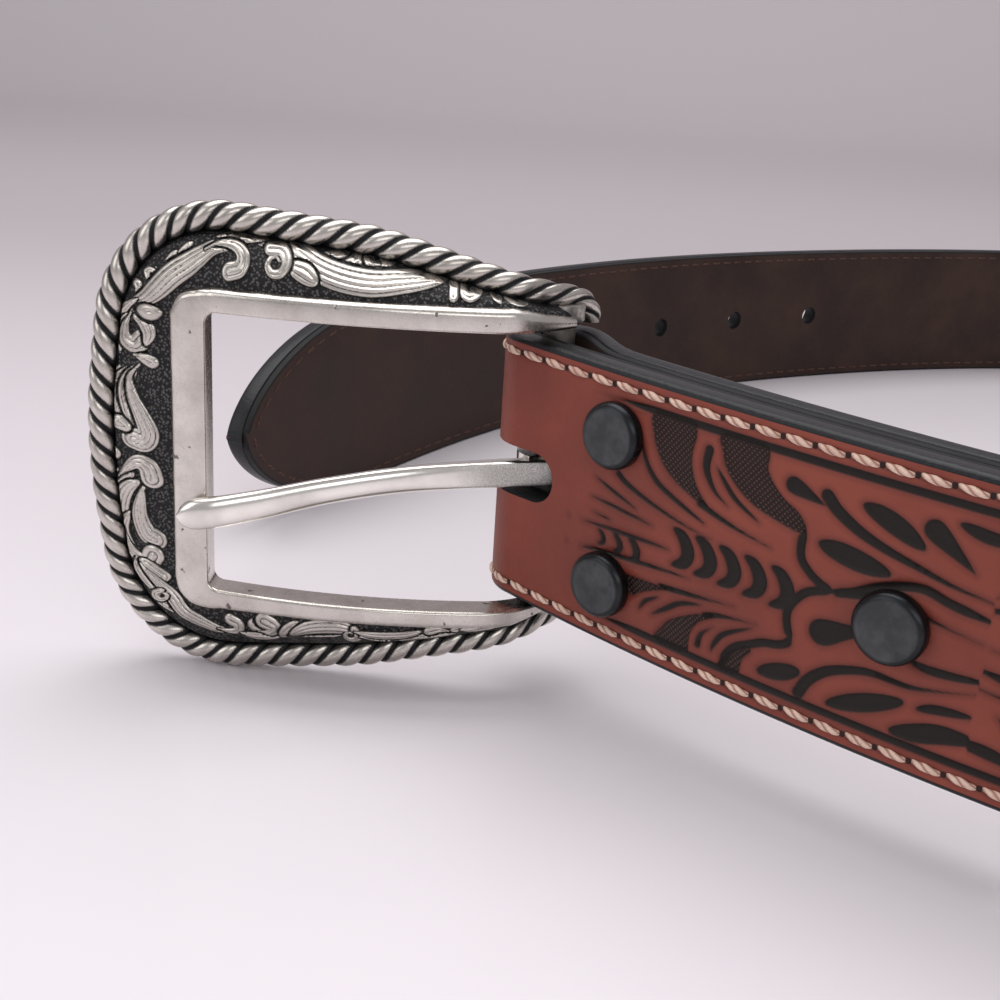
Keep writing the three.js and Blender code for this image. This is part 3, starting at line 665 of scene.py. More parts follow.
# %% The section of a strip
def section_columns(face_count, inner_depth, outer_depth, round_outer, round_inner, back_count=6):
    """Columns of a closed section: share across, extra across, depth, and 1 on the outer side."""
    quarter = np.linspace(0, math.pi / 2, 6)[1:]
    face = np.linspace(-1, 1, face_count)
    back = np.linspace(1, -1, back_count)
    up_out = round_outer * np.sin(quarter)
    up_in = round_outer - round_inner + round_inner * np.cos(quarter)
    down_out = outer_depth - round_outer * (1 - np.cos(quarter))
    down_in = inner_depth + round_inner * (1 - np.sin(quarter))
    share = np.concatenate([face, np.full(10, 1.0), back[1:-1], np.full(10, -1.0)])
    extra = np.concatenate([0 * face, up_out, up_in, 0 * back[1:-1], -up_in[::-1], -up_out[::-1]])
    inner = 0 * back[1:-1] + inner_depth
    depth = [0 * face + outer_depth, down_out, down_in, inner, down_in[::-1], down_out[::-1]]
    depth = np.concatenate(depth)
    outer = np.concatenate([0 * face + 1, np.zeros(20 + back_count - 2)])
    return share, extra, depth, outer


def strip_rows(runs, face_count, inner_depth, outer_depth, inset, round_outer, round_inner, tooled):
    """Rows of section points along the strip, with the values that its finish reads."""
    section = section_columns(face_count, inner_depth, outer_depth, round_outer, round_inner)
    share, extra, depth, outer = section
    half = strip_half_width(runs)[:, None] - inset
    rounding = np.minimum(1, 0.7 * half / round_outer)
    across = share[None, :] * (half - round_outer * rounding) + extra[None, :] * rounding
    edge = (strip_half_width(runs)[:, None] - np.abs(across)) / mm
    run_mm = np.broadcast_to(runs[:, None] / mm, across.shape)
    lift = np.zeros(across.shape)
    cut = np.full(across.shape, -2.0)
    low = np.full(across.shape, -2.0)
    if tooled:
        carved, cut_in, low_in = tooling(run_mm, across / mm, edge)
        trough = -0.22 * np.exp(-(((edge - stitch_inset) / 0.55) ** 2))
        on_face = outer[None, :] > 0
        lift = np.where(on_face, carved + trough, 0)
        cut = np.where(on_face, cut_in, -2.0)
        low = np.where(on_face, low_in, -2.0)
    points = strip_point(runs[:, None], across, depth[None, :] + lift * mm)
    edge = np.where(outer[None, :] > 0, edge - inset / mm, -1.0)
    return points, {"cut": cut, "matted": low, "edge": edge, "run": run_mm, "across": across / mm}


# %% Lengths of the strip
near_spacing = 0.3 * mm
far_spacing = 0.62 * mm
leather_lengths = [
    ("tooled_strap_near", -fold_run - fold_back_length, 96 * mm),
    ("tooled_strap_side", 96 * mm, 606 * mm),
    ("tooled_strap_tail", 606 * mm, strap_length),
]


def leather_runs(start, end):
    """Where the strip gets a row: fine by the buckle, coarse on the hidden fold-back, and
    closing up towards the tip."""
    pieces = []
    if start < 0:
        pieces.append(np.arange(start, -fold_run, 2.0 * mm))
        pieces.append(np.linspace(-fold_run, 0, 48)[:-1])
        pieces.append(np.arange(0, end, near_spacing))
    else:
        stop = min(end, strap_length - tip_length)
        pieces.append(np.arange(start, stop, far_spacing))
    if end >= strap_length:
        t = np.linspace(0, 1, 90)
        pieces.append(strap_length - tip_length * (1 - t) ** 1.6)
    else:
        pieces.append([end])
    return np.concatenate(pieces)


# %% The slot and the size holes
hole_radius = 2.5 * mm
hole_pitch = 29.2 * mm
first_hole = strap_length - 102.3 * mm
slot_height = 7.1 * mm
slot_reach = 7.5 * mm


def peg(run, across, radius, start, end, sides=40):
    """A round peg square to the strip, as skin rows."""
    angle = np.linspace(0, 2 * math.pi, sides, endpoint=False)
    x, y, middle, out_x, out_y = (float(v) for v in strip_frame(run, 0.0))
    heading = np.array([-out_y, out_x, 0.0])
    ring = radius * (np.cos(angle)[:, None] * heading + np.sin(angle)[:, None] * np.array([0, 0, 1.0]))
    ends = np.array([x, y, middle + across]) + np.array([[start], [end]]) * np.array([out_x, out_y, 0.0])
    return ends[:, None, :] + ring[None]


def slot_rows():
    """A long plate with a round end, through the fold from front to back."""
    half = slot_height / 2
    wide = fold_radius + face_outer + 2 * mm
    arc = np.linspace(-math.pi / 2, math.pi / 2, 28)
    along = np.concatenate([[-wide], slot_reach - half + half * np.cos(arc), [-wide]])
    up = np.concatenate([[-half], half * np.sin(arc), [half]])
    heading = plan_heading[0]
    forward = np.array([math.cos(heading), math.sin(heading), 0.0])
    outward = np.array([math.sin(heading), -math.cos(heading), 0.0])
    middle = np.array([bar_x, bar_y, strap_height(0.0)])
    face = middle + along[:, None] * forward + up[:, None] * np.array([0, 0, 1.0])
    return np.stack([face - wide * outward, face + wide * outward])


def cut_through(piece, cutters):
    """Takes the cutters out of a piece with a live cut that is then made final."""
    tool = joined("cutter", [skin_part(rows) for rows in cutters])
    change = piece.modifiers.new("cut", "BOOLEAN")
    change.operation = "DIFFERENCE"
    change.solver = "MANIFOLD"
    change.object = tool
    seen = piece.evaluated_get(bpy.context.evaluated_depsgraph_get())
    made = bpy.data.meshes.new_from_object(seen)
    piece.modifiers.clear()
    piece.data = made
    bpy.data.objects.remove(tool)
    return piece


size_holes = [peg(first_hole - i * hole_pitch, 0.0, hole_radius, -6 * mm, 9 * mm) for i in range(5)]

# %% [markdown]
# ### The finish of the face leather
# Cognac aniline leather is smooth and a little waxy, with fine pores. The low places keep a
# nearly black antique finish, and their walls go from one to the other over a fraction of a
# millimetre. The matted ground shows the dots of its stamp as small pale beads. The edge is
# burnished black.

# %% Face leather
def face_leather():
    """Brown leather, darker where the stored depths say cut or matted, black at the edge."""
    finish = Finish("cognac_leather")
    place = finish.place()
    cut, low = finish.value("cut"), finish.value("matted")
    edge, run, across = finish.value("edge"), finish.value("run"), finish.value("across")
    cloud = finish.noise(38.0, 4.0, 0.6, place)
    pore = finish.noise(1900.0, 2.0, 0.6, place)
    cells = {"Vector": place, "Scale": 900.0}
    wrinkle = finish.node("ShaderNodeTexVoronoi", {"feature": "DISTANCE_TO_EDGE"}, cells)
    brown = finish.blend(cloud.step(0.3, 0.7), paint(118, 55, 44), paint(138, 68, 54))
    ragged = (cloud - 0.5) * 0.12
    in_cut = (cut + ragged).step(-0.16, 0.14)
    in_low = (low + ragged).step(-0.1, 0.16)
    shade = cut.larger(low).step(-0.9, 0.05) * 0.45
    toned = finish.blend(shade, brown, paint(78, 34, 28))
    bead_u = finish.node("ShaderNodeMath", {"operation": "SINE"}, {0: (run + across * 0.22) * 8.8})
    bead_v = finish.node("ShaderNodeMath", {"operation": "SINE"}, {0: across * 8.8 + cloud * 2.0})
    beads = (bead_u * bead_v).step(0.1, 0.8)
    matting = finish.blend(beads * 0.8, paint(34, 23, 21), paint(98, 66, 58))
    dark = finish.blend(in_low, toned, matting)
    dark = finish.blend(in_cut, dark, paint(30, 22, 20))
    hole = (edge - stitch_inset) * (edge - stitch_inset)
    trough = hole.step(0.05, 0.5, 1.0, 0.0)
    dark = finish.blend(trough * 0.5, dark, paint(70, 31, 25))
    burnished = edge.step(0.0, 0.35, 1.0, 0.0)
    colour = finish.blend(burnished, dark, paint(22, 23, 26))
    grain = wrinkle.step(0.0, 0.25) * 0.5 + pore * 0.5
    height = grain * 0.12 + beads * in_low * 0.7
    normal = finish.bump(height, 0.4 * mm, 0.6)
    rough = cloud.step(0.2, 0.8, 0.40, 0.50) + in_cut * 0.12 + in_low * 0.15 - burnished * 0.08
    return finish.done(Base_Color=colour, Roughness=rough, Normal=normal, Specular_IOR_Level=0.28)


leather = face_leather()
for name, start, end in leather_lengths:
    runs = leather_runs(start, end)
    spacing = near_spacing if start < 0 else far_spacing
    columns = int(2 * strap_half / spacing)
    points, values = strip_rows(runs, columns, face_inner, face_outer, 0.0, 0.9 * mm, 0.4 * mm, True)
    strip = joined(name, [skin_part(points)])
    for value_name, value in values.items():
        keep_value(strip, value_name, value)
    if start < 0:
        cut_through(strip, [slot_rows()])
    if end >= strap_length:
        cut_through(strip, size_holes)
    settle(smooth(strip, 55), "strap", "face_leather", leather, ["strap_face"])

# %% [markdown]
# ## The lining
# The inner leather is thin, dark and matt. It follows the same way at a smaller depth, so the
# same rows make it. At the edge both leathers are burnished together, so no gap shows there.

# %% Lining
def lining_leather():
    """Dark cloudy leather with pale fibres, black where it is burnished at the edge."""
    finish = Finish("dark_lining")
    place = finish.place()
    cloud = finish.noise(55.0, 5.0, 0.65, place)
    fibre = finish.noise(1400.0, 3.0, 0.7, place)
    edge = finish.value("edge")
    brown = finish.blend(cloud.step(0.3, 0.72), paint(46, 32, 28), paint(64, 46, 39))
    worn = finish.blend(fibre.step(0.55, 0.8) * 0.35, brown, paint(84, 64, 55))
    colour = finish.blend(edge.step(0.1, 0.7, 1.0, 0.0), worn, paint(22, 21, 23))
    normal = finish.bump(fibre * 0.4 + cloud * 0.6, 0.25 * mm, 0.35)
    rough = cloud.step(0.2, 0.8, 0.5, 0.68)
    return finish.done(Base_Color=colour, Roughness=rough, Normal=normal, Specular_IOR_Level=0.25)


lining = lining_leather()
lining_runs = np.concatenate([
    np.arange(-fold_run - fold_back_length + 0.5 * mm, -fold_run, 2.5 * mm),
    np.linspace(-fold_run, 0, 40)[:-1],
    np.arange(0, strap_length - tip_length, 2.5 * mm),
    strap_length - 0.5 * mm - (tip_length - 0.5 * mm) * (1 - np.linspace(0, 1, 60)) ** 1.6,
])
points, values = strip_rows(lining_runs, 14, 0.0, burnished_lining, 0.15 * mm, 0.2 * mm, 0.4 * mm, False)
inner = joined("strap_lining_leather", [skin_part(points)])
half_row = strip_half_width(lining_runs)[:, None] / mm - np.abs(values["across"]) - 0.15
keep_value(inner, "edge", half_row)
cut_through(inner, [slot_rows()] + size_holes)
settle(smooth(inner, 55), "strap", "lining_leather", lining, ["strap_lining"])

# %% [markdown]
# ## Stitches
# Both edges are sewn with heavy thread, about four millimetres a stitch. Each stitch is a
# short plump length of two-ply thread that dives into its needle holes and leans a little.
# One stitch is a small skin; arrays place all copies along the seam at once.

# %% The seam's way
stitch_pitch = 4.1 * mm
thread_radius = 0.5 * mm
inner_thread_radius = 0.3 * mm
outer_stitch = 3.9 * mm
inner_stitch = 3.5 * mm
thread_sink = 0.02 * mm


def seam_line(inset, first, last):
    """Run and across of a seam: along the upper edge to the tip and back along the lower one,
    each point moved in from the edge, square to the outline."""
    straight = np.arange(first, strap_length - tip_length, 1 * mm)
    tip = strap_length - tip_length * (1 - np.linspace(0, 1, 160)) ** 2
    runs = np.concatenate([straight, tip])
    half = strip_half_width(runs)
    tangent = np.stack([np.gradient(runs), np.gradient(half)], -1)
    tangent /= np.linalg.norm(tangent, axis=1)[:, None]
    upper = np.stack([runs, half], -1) + inset * np.stack([tangent[:, 1], -tangent[:, 0]], -1)
    upper = upper[(upper[:, 1] > 0) & (upper[:, 0] < last)]
    lower = upper[::-1] * np.array([1, -1])
    return np.concatenate([upper, lower])


def spread_evenly(line, pitch):
    """Middles of equal spans along a line, with the direction there."""
    lengths = np.append(0, np.cumsum(np.linalg.norm(np.diff(line, axis=0), axis=1)))
    count = int(lengths[-1] // pitch)
    at = (np.arange(count) + 0.5) * pitch
    middle = np.stack([np.interp(at, lengths, line[:, k]) for k in range(2)], -1)
    ahead_of = np.stack([np.interp(at + 0.1 * pitch, lengths, line[:, k]) for k in range(2)], -1)
    direction = ahead_of - middle
    return middle, direction / np.linalg.norm(direction, axis=1)[:, None]


def beside(middles, directions, ahead_by, aside):
    """Run and across of points that lie so far ahead of and aside from each middle."""
    along, up = directions[:, 0, None, None], directions[:, 1, None, None]
    u = middles[:, 0, None, None] + along * ahead_by - up * aside
    v = middles[:, 1, None, None] + up * ahead_by + along * aside
    return u, v


def stitch_skins(name, middles, directions, depth, outward, length, radius, lean, sections, sides):
    """All stitches of a seam: each is a plump spindle of thread that dives at both ends.

    The share of its length and the angle round it are kept, for the finish to draw the plies."""
    t = np.linspace(-1, 1, sections)
    angle = np.linspace(0, 2 * math.pi, sides, endpoint=False) - math.pi / 2
    plump = radius * (1 - 0.7 * np.abs(t) ** 2.6)
    ply = 1 + 0.10 * np.cos(2 * angle[None, :] - 7.0 * t[:, None])
    ahead_by = 0.5 * length * t[:, None] + 0 * angle[None, :]
    aside = plump[:, None] * ply * np.cos(angle)[None, :] + lean * length * t[:, None]
    above = plump[:, None] * ply * 0.85 * np.sin(angle)[None, :] - 0.5 * mm * (np.abs(t[:, None]) ** 5)
    u, v = beside(middles, directions, ahead_by, aside)
    points = strip_point(u, v, depth + outward * above)
    seam = joined(name, [skin_part(rows) for rows in points])
    keep_value(seam, "thread_run", np.broadcast_to(t[None, :, None], points.shape[:3]))
    keep_value(seam, "thread_turn", np.broadcast_to(angle[None, None, :], points.shape[:3]))
    return seam


def thread_finish(name, light, dark):
    """Twisted plies: dark slanting lines, painted shade in the grooves between plies, where the sum of run and
    turn passes a step.
    """
    finish = Finish(name)
    place = finish.place()
    strand = finish.noise(3200.0, 2.0, 0.6, place)
    soiled = finish.noise(150.0, 3.0, 0.6, place)
    phase = finish.value("thread_run") * 7.0 - finish.value("thread_turn") * 2.0 + strand * 0.8
    groove = finish.node("ShaderNodeMath", {"operation": "COSINE"}, {0: phase})
    # painted shade: the grooves between the plies are coloured dark
    ply_groove_shade = groove.step(-0.95, -0.25, 1.0, 0.0)
    worn = finish.blend(soiled.step(0.45, 0.75) * 0.35, light, dark)
    colour = finish.blend((ply_groove_shade * 0.8).larger(strand.step(0.5, 0.8) * 0.35), worn, dark)
    normal = finish.bump(groove * 0.6 + strand * 0.4, 0.2 * mm, 0.7)
    return finish.done(Base_Color=colour, Roughness=0.62, Normal=normal, Specular_IOR_Level=0.3)


cream = thread_finish("cream_thread", paint(226, 196, 178), paint(150, 100, 84))
outer_seam = seam_line(stitch_inset * mm, -fold_run - fold_back_length + 5 * mm, strap_length)
middles, directions = spread_evenly(outer_seam, stitch_pitch)
seam = stitch_skins(
    "seam_outer", middles, directions, face_outer - thread_sink, 1.0, outer_stitch, thread_radius, -0.05, 11, 8
)
settle(smooth(seam, 60), "strap", "face_leather", cream)
brown_thread = thread_finish("brown_thread", paint(92, 62, 50), paint(58, 38, 32))
inner_seam = seam_line(stitch_inset * mm, fold_back_length + 3 * mm, strap_length)
middles, directions = spread_evenly(inner_seam, stitch_pitch)
seam = stitch_skins(
    "seam_inner", middles, directions, thread_sink, -1.0, inner_stitch, inner_thread_radius, 0.0, 7, 6
)
settle(smooth(seam, 60), "strap", "lining_leather", brown_thread)

# %% [markdown]
# ## The needle holes
# Between two stitches the thread goes down through a small oval hole, which reads as a dark
# slit. Each is a shallow lens pressed in the trough, coloured dark as painted shade for the hole's depth.

# %% Needle holes
def needle_holes(name, seam_way, depth, outward):
    """Small flat lenses, square to the strip, at the joints between stitches."""
    middles, directions = spread_evenly(seam_way, stitch_pitch)
    middles = middles + 0.5 * stitch_pitch * directions
    angle = np.linspace(0, 2 * math.pi, 8, endpoint=False)
    rings = np.array([[0.2, 0.08], [1.0, 0.03], [0.2, -0.06]])
    long_way = 0.34 * mm * rings[:, :1] * np.cos(angle)[None, :]
    wide_way = 0.5 * mm * rings[:, :1] * np.sin(angle)[None, :]
    rise = rings[:, 1:] * mm + 0 * angle[None, :]
    u, v = beside(middles, directions, long_way, wide_way)
    points = strip_point(u, v, depth + outward * rise)
    return joined(name, [skin_part(rows) for rows in points])


def needle_hole_shade():
    """Painted shade for the dark inside of a needle hole."""
    finish = Finish("needle_hole")
    speck = finish.noise(900.0)
    # painted shade: the lens is coloured near black for the depth of the hole
    colour = finish.blend(speck, paint(30, 16, 13), paint(48, 26, 20))
    return finish.done(Base_Color=colour, Roughness=0.9)


holes = needle_holes("needle_holes_outer", outer_seam, face_outer - 0.17 * mm, 1.0)
settle(smooth(holes), "strap", "face_leather", needle_hole_shade())

# %% [markdown]
# ## The snaps
# Each snap is a pressed cap with a flat, slightly dished face and a rolled shoulder, in
# black oxide, darker on the rolled shoulder than on the face. A cap is a profile turned round its
# own axis, so one lathe makes all of them.

# %% Snap caps and studs
snap_radius = 4.5 * mm
snap_places = [("snap_upper", 17.6, 10.4), ("snap_lower", 17.6, -10.4), ("snap_third", 57.5, -1.2)]
cap_profile = np.array([
    (0.30, -0.35), (0.86, -0.35), (0.97, -0.2), (1.0, 0.1), (1.0, 0.75), (0.985, 1.15), (0.94, 1.5),
    (0.87, 1.74), (0.79, 1.84), (0.72, 1.86), (0.66, 1.84), (0.5, 1.86), (0.25, 1.9), (0.02, 1.9),
])
stud_profile = np.array([
    (0.30, 0.0), (1.0, 0.0), (1.0, 0.9), (0.96, 1.4), (0.82, 1.9), (0.62, 2.05), (0.6, 1.2), (0.5, 1.1),
    (0.42, 1.3), (0.38, 2.2), (0.25, 2.4), (0.02, 2.4),
])


def turned(run, above, profile, radius, seat, outward):
    """A turned piece square to the strip: the profile's first column is a share of the radius,
    the second its height in millimetres over the seat."""
    line = smooth_line(profile, 3)
    angle = np.linspace(0, 2 * math.pi, 48, endpoint=False)
    x, y, middle, out_x, out_y = (float(v) for v in strip_frame(run, 0.0))
    out = np.array([out_x, out_y, 0.0])
    sideways = np.array([-out_y, out_x, 0.0])
    reach = radius * line[:, 0][:, None, None]
    ring = np.cos(angle)[None, :, None] * sideways + np.sin(angle)[None, :, None] * np.array([0, 0, 1.0])
    rise = (seat + outward * line[:, 1] * mm)[:, None, None] * out
    rows = np.array([x, y, middle + above]) + reach * ring + rise
    radial = np.broadcast_to(line[:, 0][:, None], rows.shape[:2])
    return rows, radial


def black_oxide():
    """Blackened steel, darker on the rolled shoulder than on the face."""
    finish = Finish("black_oxide")
    place = finish.place()
    radial = finish.value("radial")
    cloud = finish.noise(260.0, 4.0, 0.6, place)
    scuff = finish.noise(1500.0, 2.0, 0.7, place)
    plain = finish.blend(cloud.step(0.35, 0.7), paint(60, 62, 64), paint(80, 82, 84))
    shoulder = radial.step(0.78, 0.88) * 0.8
    colour = finish.blend(shoulder, plain, paint(34, 35, 38))
    rough = cloud.step(0.2, 0.8, 0.3, 0.42) - shoulder * 0.08
    normal = finish.bump(scuff, 0.05 * mm, 0.15)
    return finish.done(Base_Color=colour, Metallic=0.85, Roughness=rough, Normal=normal)


oxide = black_oxide()
for name, along, above in snap_places:
    for part, profile, radius, seat, outward in (
        ("cap", cap_profile, snap_radius, face_outer + 0.3 * mm, 1.0),
        ("stud", stud_profile, 4.2 * mm, -(face_outer + 2 * layer_gap), -1.0),
    ):
        rows, radial = turned(along * mm, above * mm, profile, radius, seat, outward)
        piece = joined(f"{name}_{part}_turned", [skin_part(rows)])
        keep_value(piece, "radial", radial)
        settle(smooth(piece, 50), "strap", "black_snap", oxide, [f"{name}_{part}"])

# %% [markdown]
# ## The buckle's outline
# The cast frame is seen best as a band that runs from heel to heel round the opening. Each
# place on it is given by its run along the rope edge and its way across from the opening.
# The front is bowed like the waist, so depth is a function of the distance from the bar.

# %% Buckle sizes and outline
opening_length = 47.8 * mm
opening_half = 20 * mm
opening_corner = 1.5 * mm
rim_width = 4.4 * mm
groove_width = 0.5 * mm
rim_rise = 1.6 * mm
frame_depth = 4.4 * mm
band_end = 2.25 * mm
bow_radius = 95 * mm
bow_crest = 21.8 * mm
bow_front = 12.2 * mm
heel_turn_start = 8.8 * mm
heel_turn = 0.045 / mm
border_corners = np.array([
    (5.9, 19.9, 0), (5.9, 24.3, 5.6), (-25, 32.4, 60), (-62.7, 36.0, 19), (-66.9, 0, 97.5),
    (-62.7, -36.0, 19), (-25, -32.4, 60), (5.9, -24.3, 5.6), (5.9, -19.9, 0),
]) * mm
# Share of the way from the heel to the far end, the rope's radius, its depth behind the rim's front
rope_table = np.array([
    (0, 1.75, 4.2), (0.08, 1.75, 4.2), (0.32, 2.1, 7.5), (0.66, 2.1, 4.9), (1, 2.1, 2.6),
     (1.34, 2.1, 4.9),
])
chart_length = 203.0
# Run along the rope edge and the frame's width there, in the drawing of the scrolls, up to its middle
half_chart = np.array([
    (6, 3.6), (15, 6.1), (30, 8.4), (45, 10.7), (60, 12.3), (68, 12.3), (76, 12.7),
    (84, 13.3), (92, 13.5), (101.5, 13.7),
])
mirrored = half_chart[-2::-1] * (-1, 1) + (chart_length, 0)
chart_widths = np.concatenate([half_chart, mirrored])


def even_line(line, spacing):
    """The same line with its points a spacing apart."""
    lengths = np.append(0, np.cumsum(np.linalg.norm(np.diff(line, axis=0), axis=1)))
    at = np.linspace(0, lengths[-1], round(lengths[-1] / spacing) + 1)
    return np.stack([np.interp(at, lengths, line[:, k]) for k in range(2)], -1)


def rounded_line(corners, spacing):
    """A line through corners, each rounded by an arc of its own radius."""
    parts = [corners[:1, :2]]
    for before, corner, after in zip(corners[:-2], corners[1:-1], corners[2:]):
        to_before = before[:2] - corner[:2]
        to_after = after[:2] - corner[:2]
        to_before /= np.linalg.norm(to_before)
        to_after /= np.linalg.norm(to_after)
        half = math.acos(np.clip(to_before @ to_after, -1, 1)) / 2
        inwards = (to_before + to_after) / np.linalg.norm(to_before + to_after)
        centre = corner[:2] + inwards * corner[2] / math.sin(half)
        first = corner[:2] + to_before * corner[2] / math.tan(half) - centre
        last = corner[:2] + to_after * corner[2] / math.tan(half) - centre
        start = math.atan2(first[1], first[0])
        sweep = (math.atan2(last[1], last[0]) - start + math.pi) % (2 * math.pi) - math.pi
        angle = start + sweep * np.linspace(0, 1, 90)
        parts.append(centre + corner[2] * np.stack([np.cos(angle), np.sin(angle)], -1))
    parts.append(corners[-1:, :2])
    return even_line(np.concatenate(parts), spacing)


def buckle_front(x):
    """Depth of the front: a circle's bow, straight past the opening, turned back at the heel."""
    bowed = np.maximum(x, -opening_length)
    slope = (bow_crest - opening_length) / bow_radius
    bow = (bowed + bow_crest) ** 2 / (2 * bow_radius) + slope * np.minimum(0, x + opening_length)
    return bow + heel_turn * np.maximum(0, x + heel_turn_start) ** 2 - bow_front


def buckle_point(flat, rise):
    """A point of the buckle from its place in the buckle's plane and its rise over the front."""
    x = flat[..., 0]
    depth = buckle_front(x) - rise
    return np.stack([bar_x + x, bar_y + depth, buckle_middle + flat[..., 1]], -1)


def rope_line(spacing):
    """The outline moved in by the rope's radius, with its directions, the radius and the depth."""
    line = rounded_line(border_corners, spacing)
    ahead_way = np.gradient(line, axis=0)
    ahead_way /= np.linalg.norm(ahead_way, axis=1)[:, None]
    share = 1 - np.abs(np.linspace(-1, 1, len(line)))
    radius = table_curve(rope_table[:, [0, 1]], share) * mm
    sink = table_curve(rope_table[:, [0, 2]], share) * mm
    inwards = np.stack([-ahead_way[:, 1], ahead_way[:, 0]], -1)
    return line + radius[:, None] * inwards, ahead_way, radius, sink


def crossings(points):
    """Start, outward direction and width of the frame where a line from the opening meets each point."""
    low = -opening_length + opening_corner
    half = opening_half - opening_corner
    core = np.stack([np.maximum(points[:, 0], low), np.clip(points[:, 1], -half, half)], -1)
    outward = points - core
    total = np.linalg.norm(outward, axis=1)
    outward = outward / total[:, None]
    return core + opening_corner * outward, outward, total - opening_corner


# %% [markdown]
# ## The rope edge
# The border is cast as a twisted rope of three strands. Its section is a flower of three
# lobes, and the flower turns as it goes along, one lobe every few millimetres. Each lobe is a
# half circle, so the valleys between them are sharp and hold the black.

# %% Rope edge
rope_lobes = 3
rope_pitch = 3.45 * mm
rope_cut = 0.42


def rope_rows(spacing, sides):
    """Radius = R (1 - cut + cut sqrt(1 - (2 s - 1)^2)), s the share of the way across a lobe."""
    line, ahead_way, rope_radius, rope_sink = (part[:, None] for part in rope_line(spacing))
    line, ahead_way = line[:, 0], ahead_way[:, 0]
    run = np.arange(len(line)) * spacing
    angle = np.linspace(0, 2 * math.pi, sides, endpoint=False)[None, :]
    phase = (angle / (2 * math.pi) * rope_lobes + run[:, None] / rope_pitch) % 1.0
    lobe = np.sqrt(np.maximum(0, 1 - (2 * phase - 1) ** 2))
    radius = rope_radius * (1 - rope_cut + rope_cut * lobe)
    outward = np.stack([ahead_way[:, 1], -ahead_way[:, 0]], -1)
    flat = line[:, None, :] + (radius * np.cos(angle))[..., None] * outward[:, None, :]
    front = buckle_front(line[:, 0])[:, None] + rope_sink + radius * np.sin(angle)
    shaded = 0.9 * soft_step(-np.cos(angle), 0.45, 0.95)
    rows = np.stack([bar_x + flat[..., 0], bar_y + front, buckle_middle + flat[..., 1]], -1)
    return rows, np.clip(np.maximum(2.2 * (1 - lobe), shaded), 0, 1)


# %% [markdown]
# ### Antiqued silver
# The casting is dipped in a blackening bath and then polished: what stands up is bright, and
# what lies low stays nearly black. Each silver piece stores how hollow it is at each point,
# and the finish blends from bright to black with it.

# %% Silver
def silver(name, bright, bright_rough, pits):
    """Bright where the metal stands up, black where it lies low, with pits and a dotted ground."""
    finish = Finish(name)
    place = finish.place()
    hollow, stipple = finish.value("hollow"), finish.value("stipple")
    cloud = finish.noise(170.0, 4.0, 0.6, place)
    fine = finish.noise(1500.0, 3.0, 0.65, place)
    pit_noise = finish.noise(520.0, 2.0, 0.5, place)
    bead = finish.node("ShaderNodeTexVoronoi", {"feature": "F1"}, {"Vector": place, "Scale": 2300.0})
    bead = bead.step(0.2, 0.55, 1.0, 0.0)
    ragged = hollow + (fine - 0.5) * 0.3
    blackened = ragged.step(0.36, 0.8)
    dotted = hollow.step(0.85, 0.98) * stipple
    pitted = pit_noise.step(0.70, 0.74) * pits
    dark = blackened.larger(pitted * 0.75)
    toned = finish.blend(cloud.step(0.3, 0.75) * 0.55, bright, paint(168, 160, 152))
    black = finish.blend(dotted * bead * 0.5, paint(34, 33, 35), paint(128, 125, 122))
    colour = finish.blend(dark, toned, black)
    rough = fine.step(0.2, 0.8, bright_rough, bright_rough + 0.1) + dark * 0.25
    height = fine * 0.3 - pitted + dotted * bead * 1.5
    normal = finish.bump(height, 0.08 * mm, 0.5)
    return finish.done(Base_Color=colour, Metallic=1.0 - 0.35 * dark, Roughness=rough, Normal=normal)


antiqued = silver("antiqued_silver_cast", paint(206, 200, 193), 0.24, 0.3)
polished = silver("polished_silver_rim", paint(214, 208, 201), 0.2, 1.0)
rows, hollow = rope_rows(0.28 * mm, 40)
rope = joined("buckle_rope_edge", [skin_part(rows)])
keep_value(rope, "hollow", hollow)
settle(smooth(rope, 75), "buckle", "antiqued_silver", antiqued, ["buckle_frame"])

# %% [markdown]
# ## The rim
# The plain rim round the opening stands proud and is polished, with a wide rounded bevel on
# its outer side. Its section is a small closed profile; only its width changes: it is widest
# at the far end, where the prong rests.

# %% Rim
rim_table = np.array([
    (0, 3.3), (60, 3.3), (66, 3.8), (72, 4.9), (80, 5.4), (128, 5.4),
    (134, 4.9), (140, 3.9), (147, 3.2), (155, 3.0), (203, 2.7),
]) * mm


def rim_widths(run, clear_width):
    """The rim's width from the table, kept clear of the rope where the frame is narrow."""
    tabled = np.interp(run, rim_table[:, 0], rim_table[:, 1])
    return np.minimum(tabled, clear_width - groove_width)


def rim_profile(width):
    """Across and rise of the rim's section at a width: rounded inner edge, flat top, full bevel."""
    quarter = np.linspace(0, math.pi / 2, 8)
    inner_round = 0.5 * mm
    bevel = np.minimum(1.1 * mm, 0.4 * width)[:, None]
    top = 0 * bevel
    across = np.concatenate([
        0 * bevel, 0 * bevel,
        inner_round * (1 - np.cos(quarter))[None, :] + 0 * bevel,
        width[:, None] - bevel + bevel * np.sin(quarter)[None, :],
        width[:, None] + 0.1 * mm, width[:, None] + 0.1 * mm,
    ], 1)
    rise = np.concatenate([
        top - frame_depth, top - 2.2 * mm,
        inner_round * (np.sin(quarter) - 1)[None, :] + top,
        -rim_rise * (1 - np.cos(quarter))[None, :] + top,
        top - rim_rise - 0.8 * mm, top - frame_depth,
    ], 1)
    return across, rise


def rim_rows(spacing):
    """The rim's section carried round the opening, square to it, as far as the heel."""
    line, _, rope_radius, _ = rope_line(spacing)
    kept = line[:, 0] < band_end
    runs = np.linspace(0, chart_length, len(line))[kept] * mm
    start, outward, width = crossings(line[kept])
    rim = rim_widths(runs, width - rope_radius[kept])
    across, rise = rim_profile(rim)
    flat = start[:, None, :] + across[..., None] * outward[:, None, :]
    return buckle_point(flat, rise)


